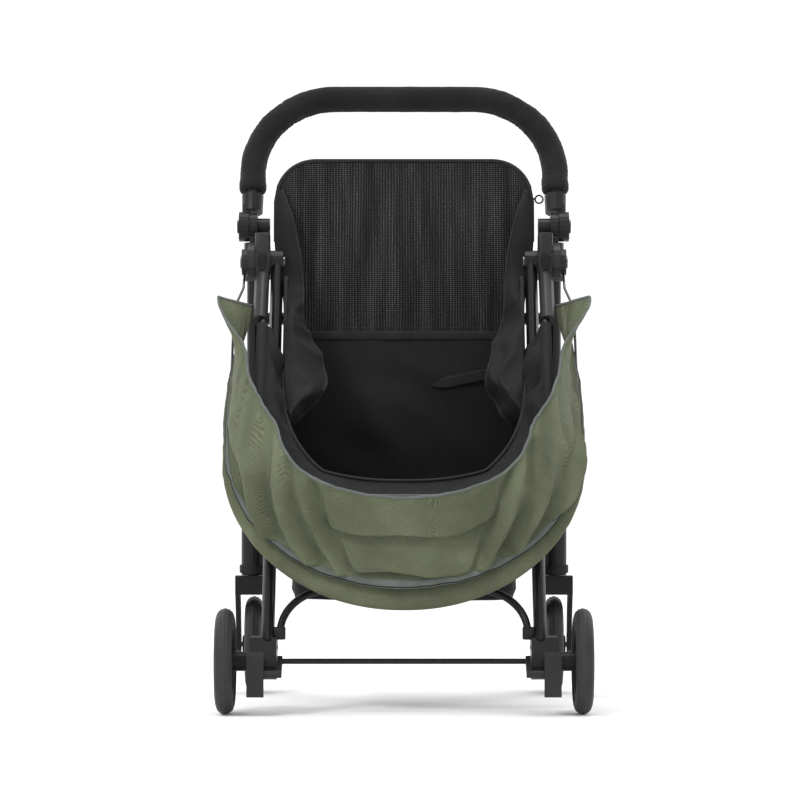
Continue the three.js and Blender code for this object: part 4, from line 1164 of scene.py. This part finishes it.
def hood_folds(base, v, t, slack):
    """Diagonal folds from both upper sides, and level folds between them at the bottom, in mm outwards."""
    height = 0.37 - 0.035 * np.log1p(np.exp((0.37 - base[..., 2]) / 0.035))
    across = 0.48 * height - 0.88 * np.abs(base[..., 0]) + 0.010 * wrinkle(base, 6, 2.2)
    skew = np.where(base[..., 0] > 0, 0.016, 0.0)
    diagonal = pleat((0.034 - skew - across) / FOLD_PITCH + 0.22 * wrinkle(base, 9, 5.0), 0.14)
    level = pleat(2.1 * (v - 0.28) / 0.72 + 0.25 * wrinkle(base, 8, 3.3) + 0.3 * t, 0.16)
    sideways = smooth_step((0.046 - skew - across) / 0.016)
    rise = sideways * (diagonal - 0.45) * 31
    rise += (1 - sideways) * (level - 0.45) * 17 * smooth_step((0.9 - v) / 0.3)
    calm = 1 - 0.6 * smooth_step((base[..., 2] - 0.31) / 0.10)
    return np.maximum(rise + sideways * 4, -8) * (0.25 + 0.75 * slack) * calm


def hood_grid(lift=0.0):
    """Rows from the bow (0) to the mouth's edge (1), columns from one ear round to the other."""
    rows = []
    for share in np.linspace(0, 1, HOOD_ROWS):
        size = {key: HOOD_OUTER[key] + share * (HOOD_INNER[key] - HOOD_OUTER[key]) for key in HOOD_OUTER}
        flat = bowed(size, HOOD_START, HOOD_COLUMNS)
        rows.append(np.column_stack([flat, np.full(HOOD_COLUMNS, size["angle"])]))
    x, way, out_x, out_way, angle = np.moveaxis(np.array(rows), 2, 0)
    base = from_hub(np.stack([x, way], axis=2), angle)
    v = np.linspace(0, 1, HOOD_ROWS)[:, None]
    t = np.linspace(-1, 1, HOOD_COLUMNS)[None, :]
    side = np.abs(t)
    slack = smooth_step((1 - side) / 0.35)
    inside = smooth_step((v - 0.25) / 0.07) * smooth_step((1.0 - v) / 0.10)
    fine = wrinkle(base, 30, 1.3) * 2.2 + (0.3 - np.abs(wrinkle(base, 44, 4.1))) * 2.6
    out = lift + hood_folds(base, v, t, slack) * inside + wrinkle(base, 11, 7.7) * 5.0 * inside * slack
    out += fine * smooth_step(v / 0.1)
    out += (9 * swell(v, 0.06, 0.065) - 12 * swell(v, 0.165, 0.028) + 7 * swell(v, 0.235, 0.045)) * slack
    out -= 34 * smooth_step((v - 0.45) / 0.55) * swell(side, 0.49, 0.17)
    out += smooth_step((side - 0.76) / 0.24) * (-27 + 72 * v)
    return from_hub(np.stack([x + out * MM * out_x, way + out * MM * out_way], axis=2), angle)


def on_hood(piece, replaced=()):
    """A piece of the hood, with its placement baked into its points; the parts it replaces are hidden."""
    if replaced:
        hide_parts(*replaced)
    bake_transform(piece)


def add_hood():
    grid = hood_grid()
    hood = cloth_sheet("hood_fabric", [grid], "green_fabric", 1.4 * MM)
    outer = hood_grid(1.6)
    low, high = (int(share * HOOD_ROWS) for share in ZIP_BAND)
    zip_row = outer[(low + high) // 2] + np.array([0, -0.8 * MM, 0])
    trims = [
        cloth_sheet("hood_zip_band", [outer[low:high]], "grey_binding", 1.2 * MM),
        tube("hood_zip_line", zip_row, 0.9 * MM, "black_binding", 6),
        tube("hood_mouth_piping", grid[-1], 2.2 * MM, "grey_binding", 8),
        tube("hood_end_binding_r", grid[:, -1], 2.8 * MM, "grey_binding", 8),
        tube("hood_end_binding_l", grid[:, 0], 2.8 * MM, "grey_binding", 8),
    ]
    on_hood(hood, ["hood_cover"])
    for piece in trims:
        on_hood(piece)


# ---- assembly

add_camera()
add_studio()
dress_kept_nodes()
add_tyres()
add_bars()
add_hardware()
add_hub_housings()
add_latch_ribs()
add_arch_feet()
add_grip()
add_cabin()
add_back_panel()
add_gussets()
add_floor_pad()
add_tether()
add_loop()
add_basket()
add_hood()
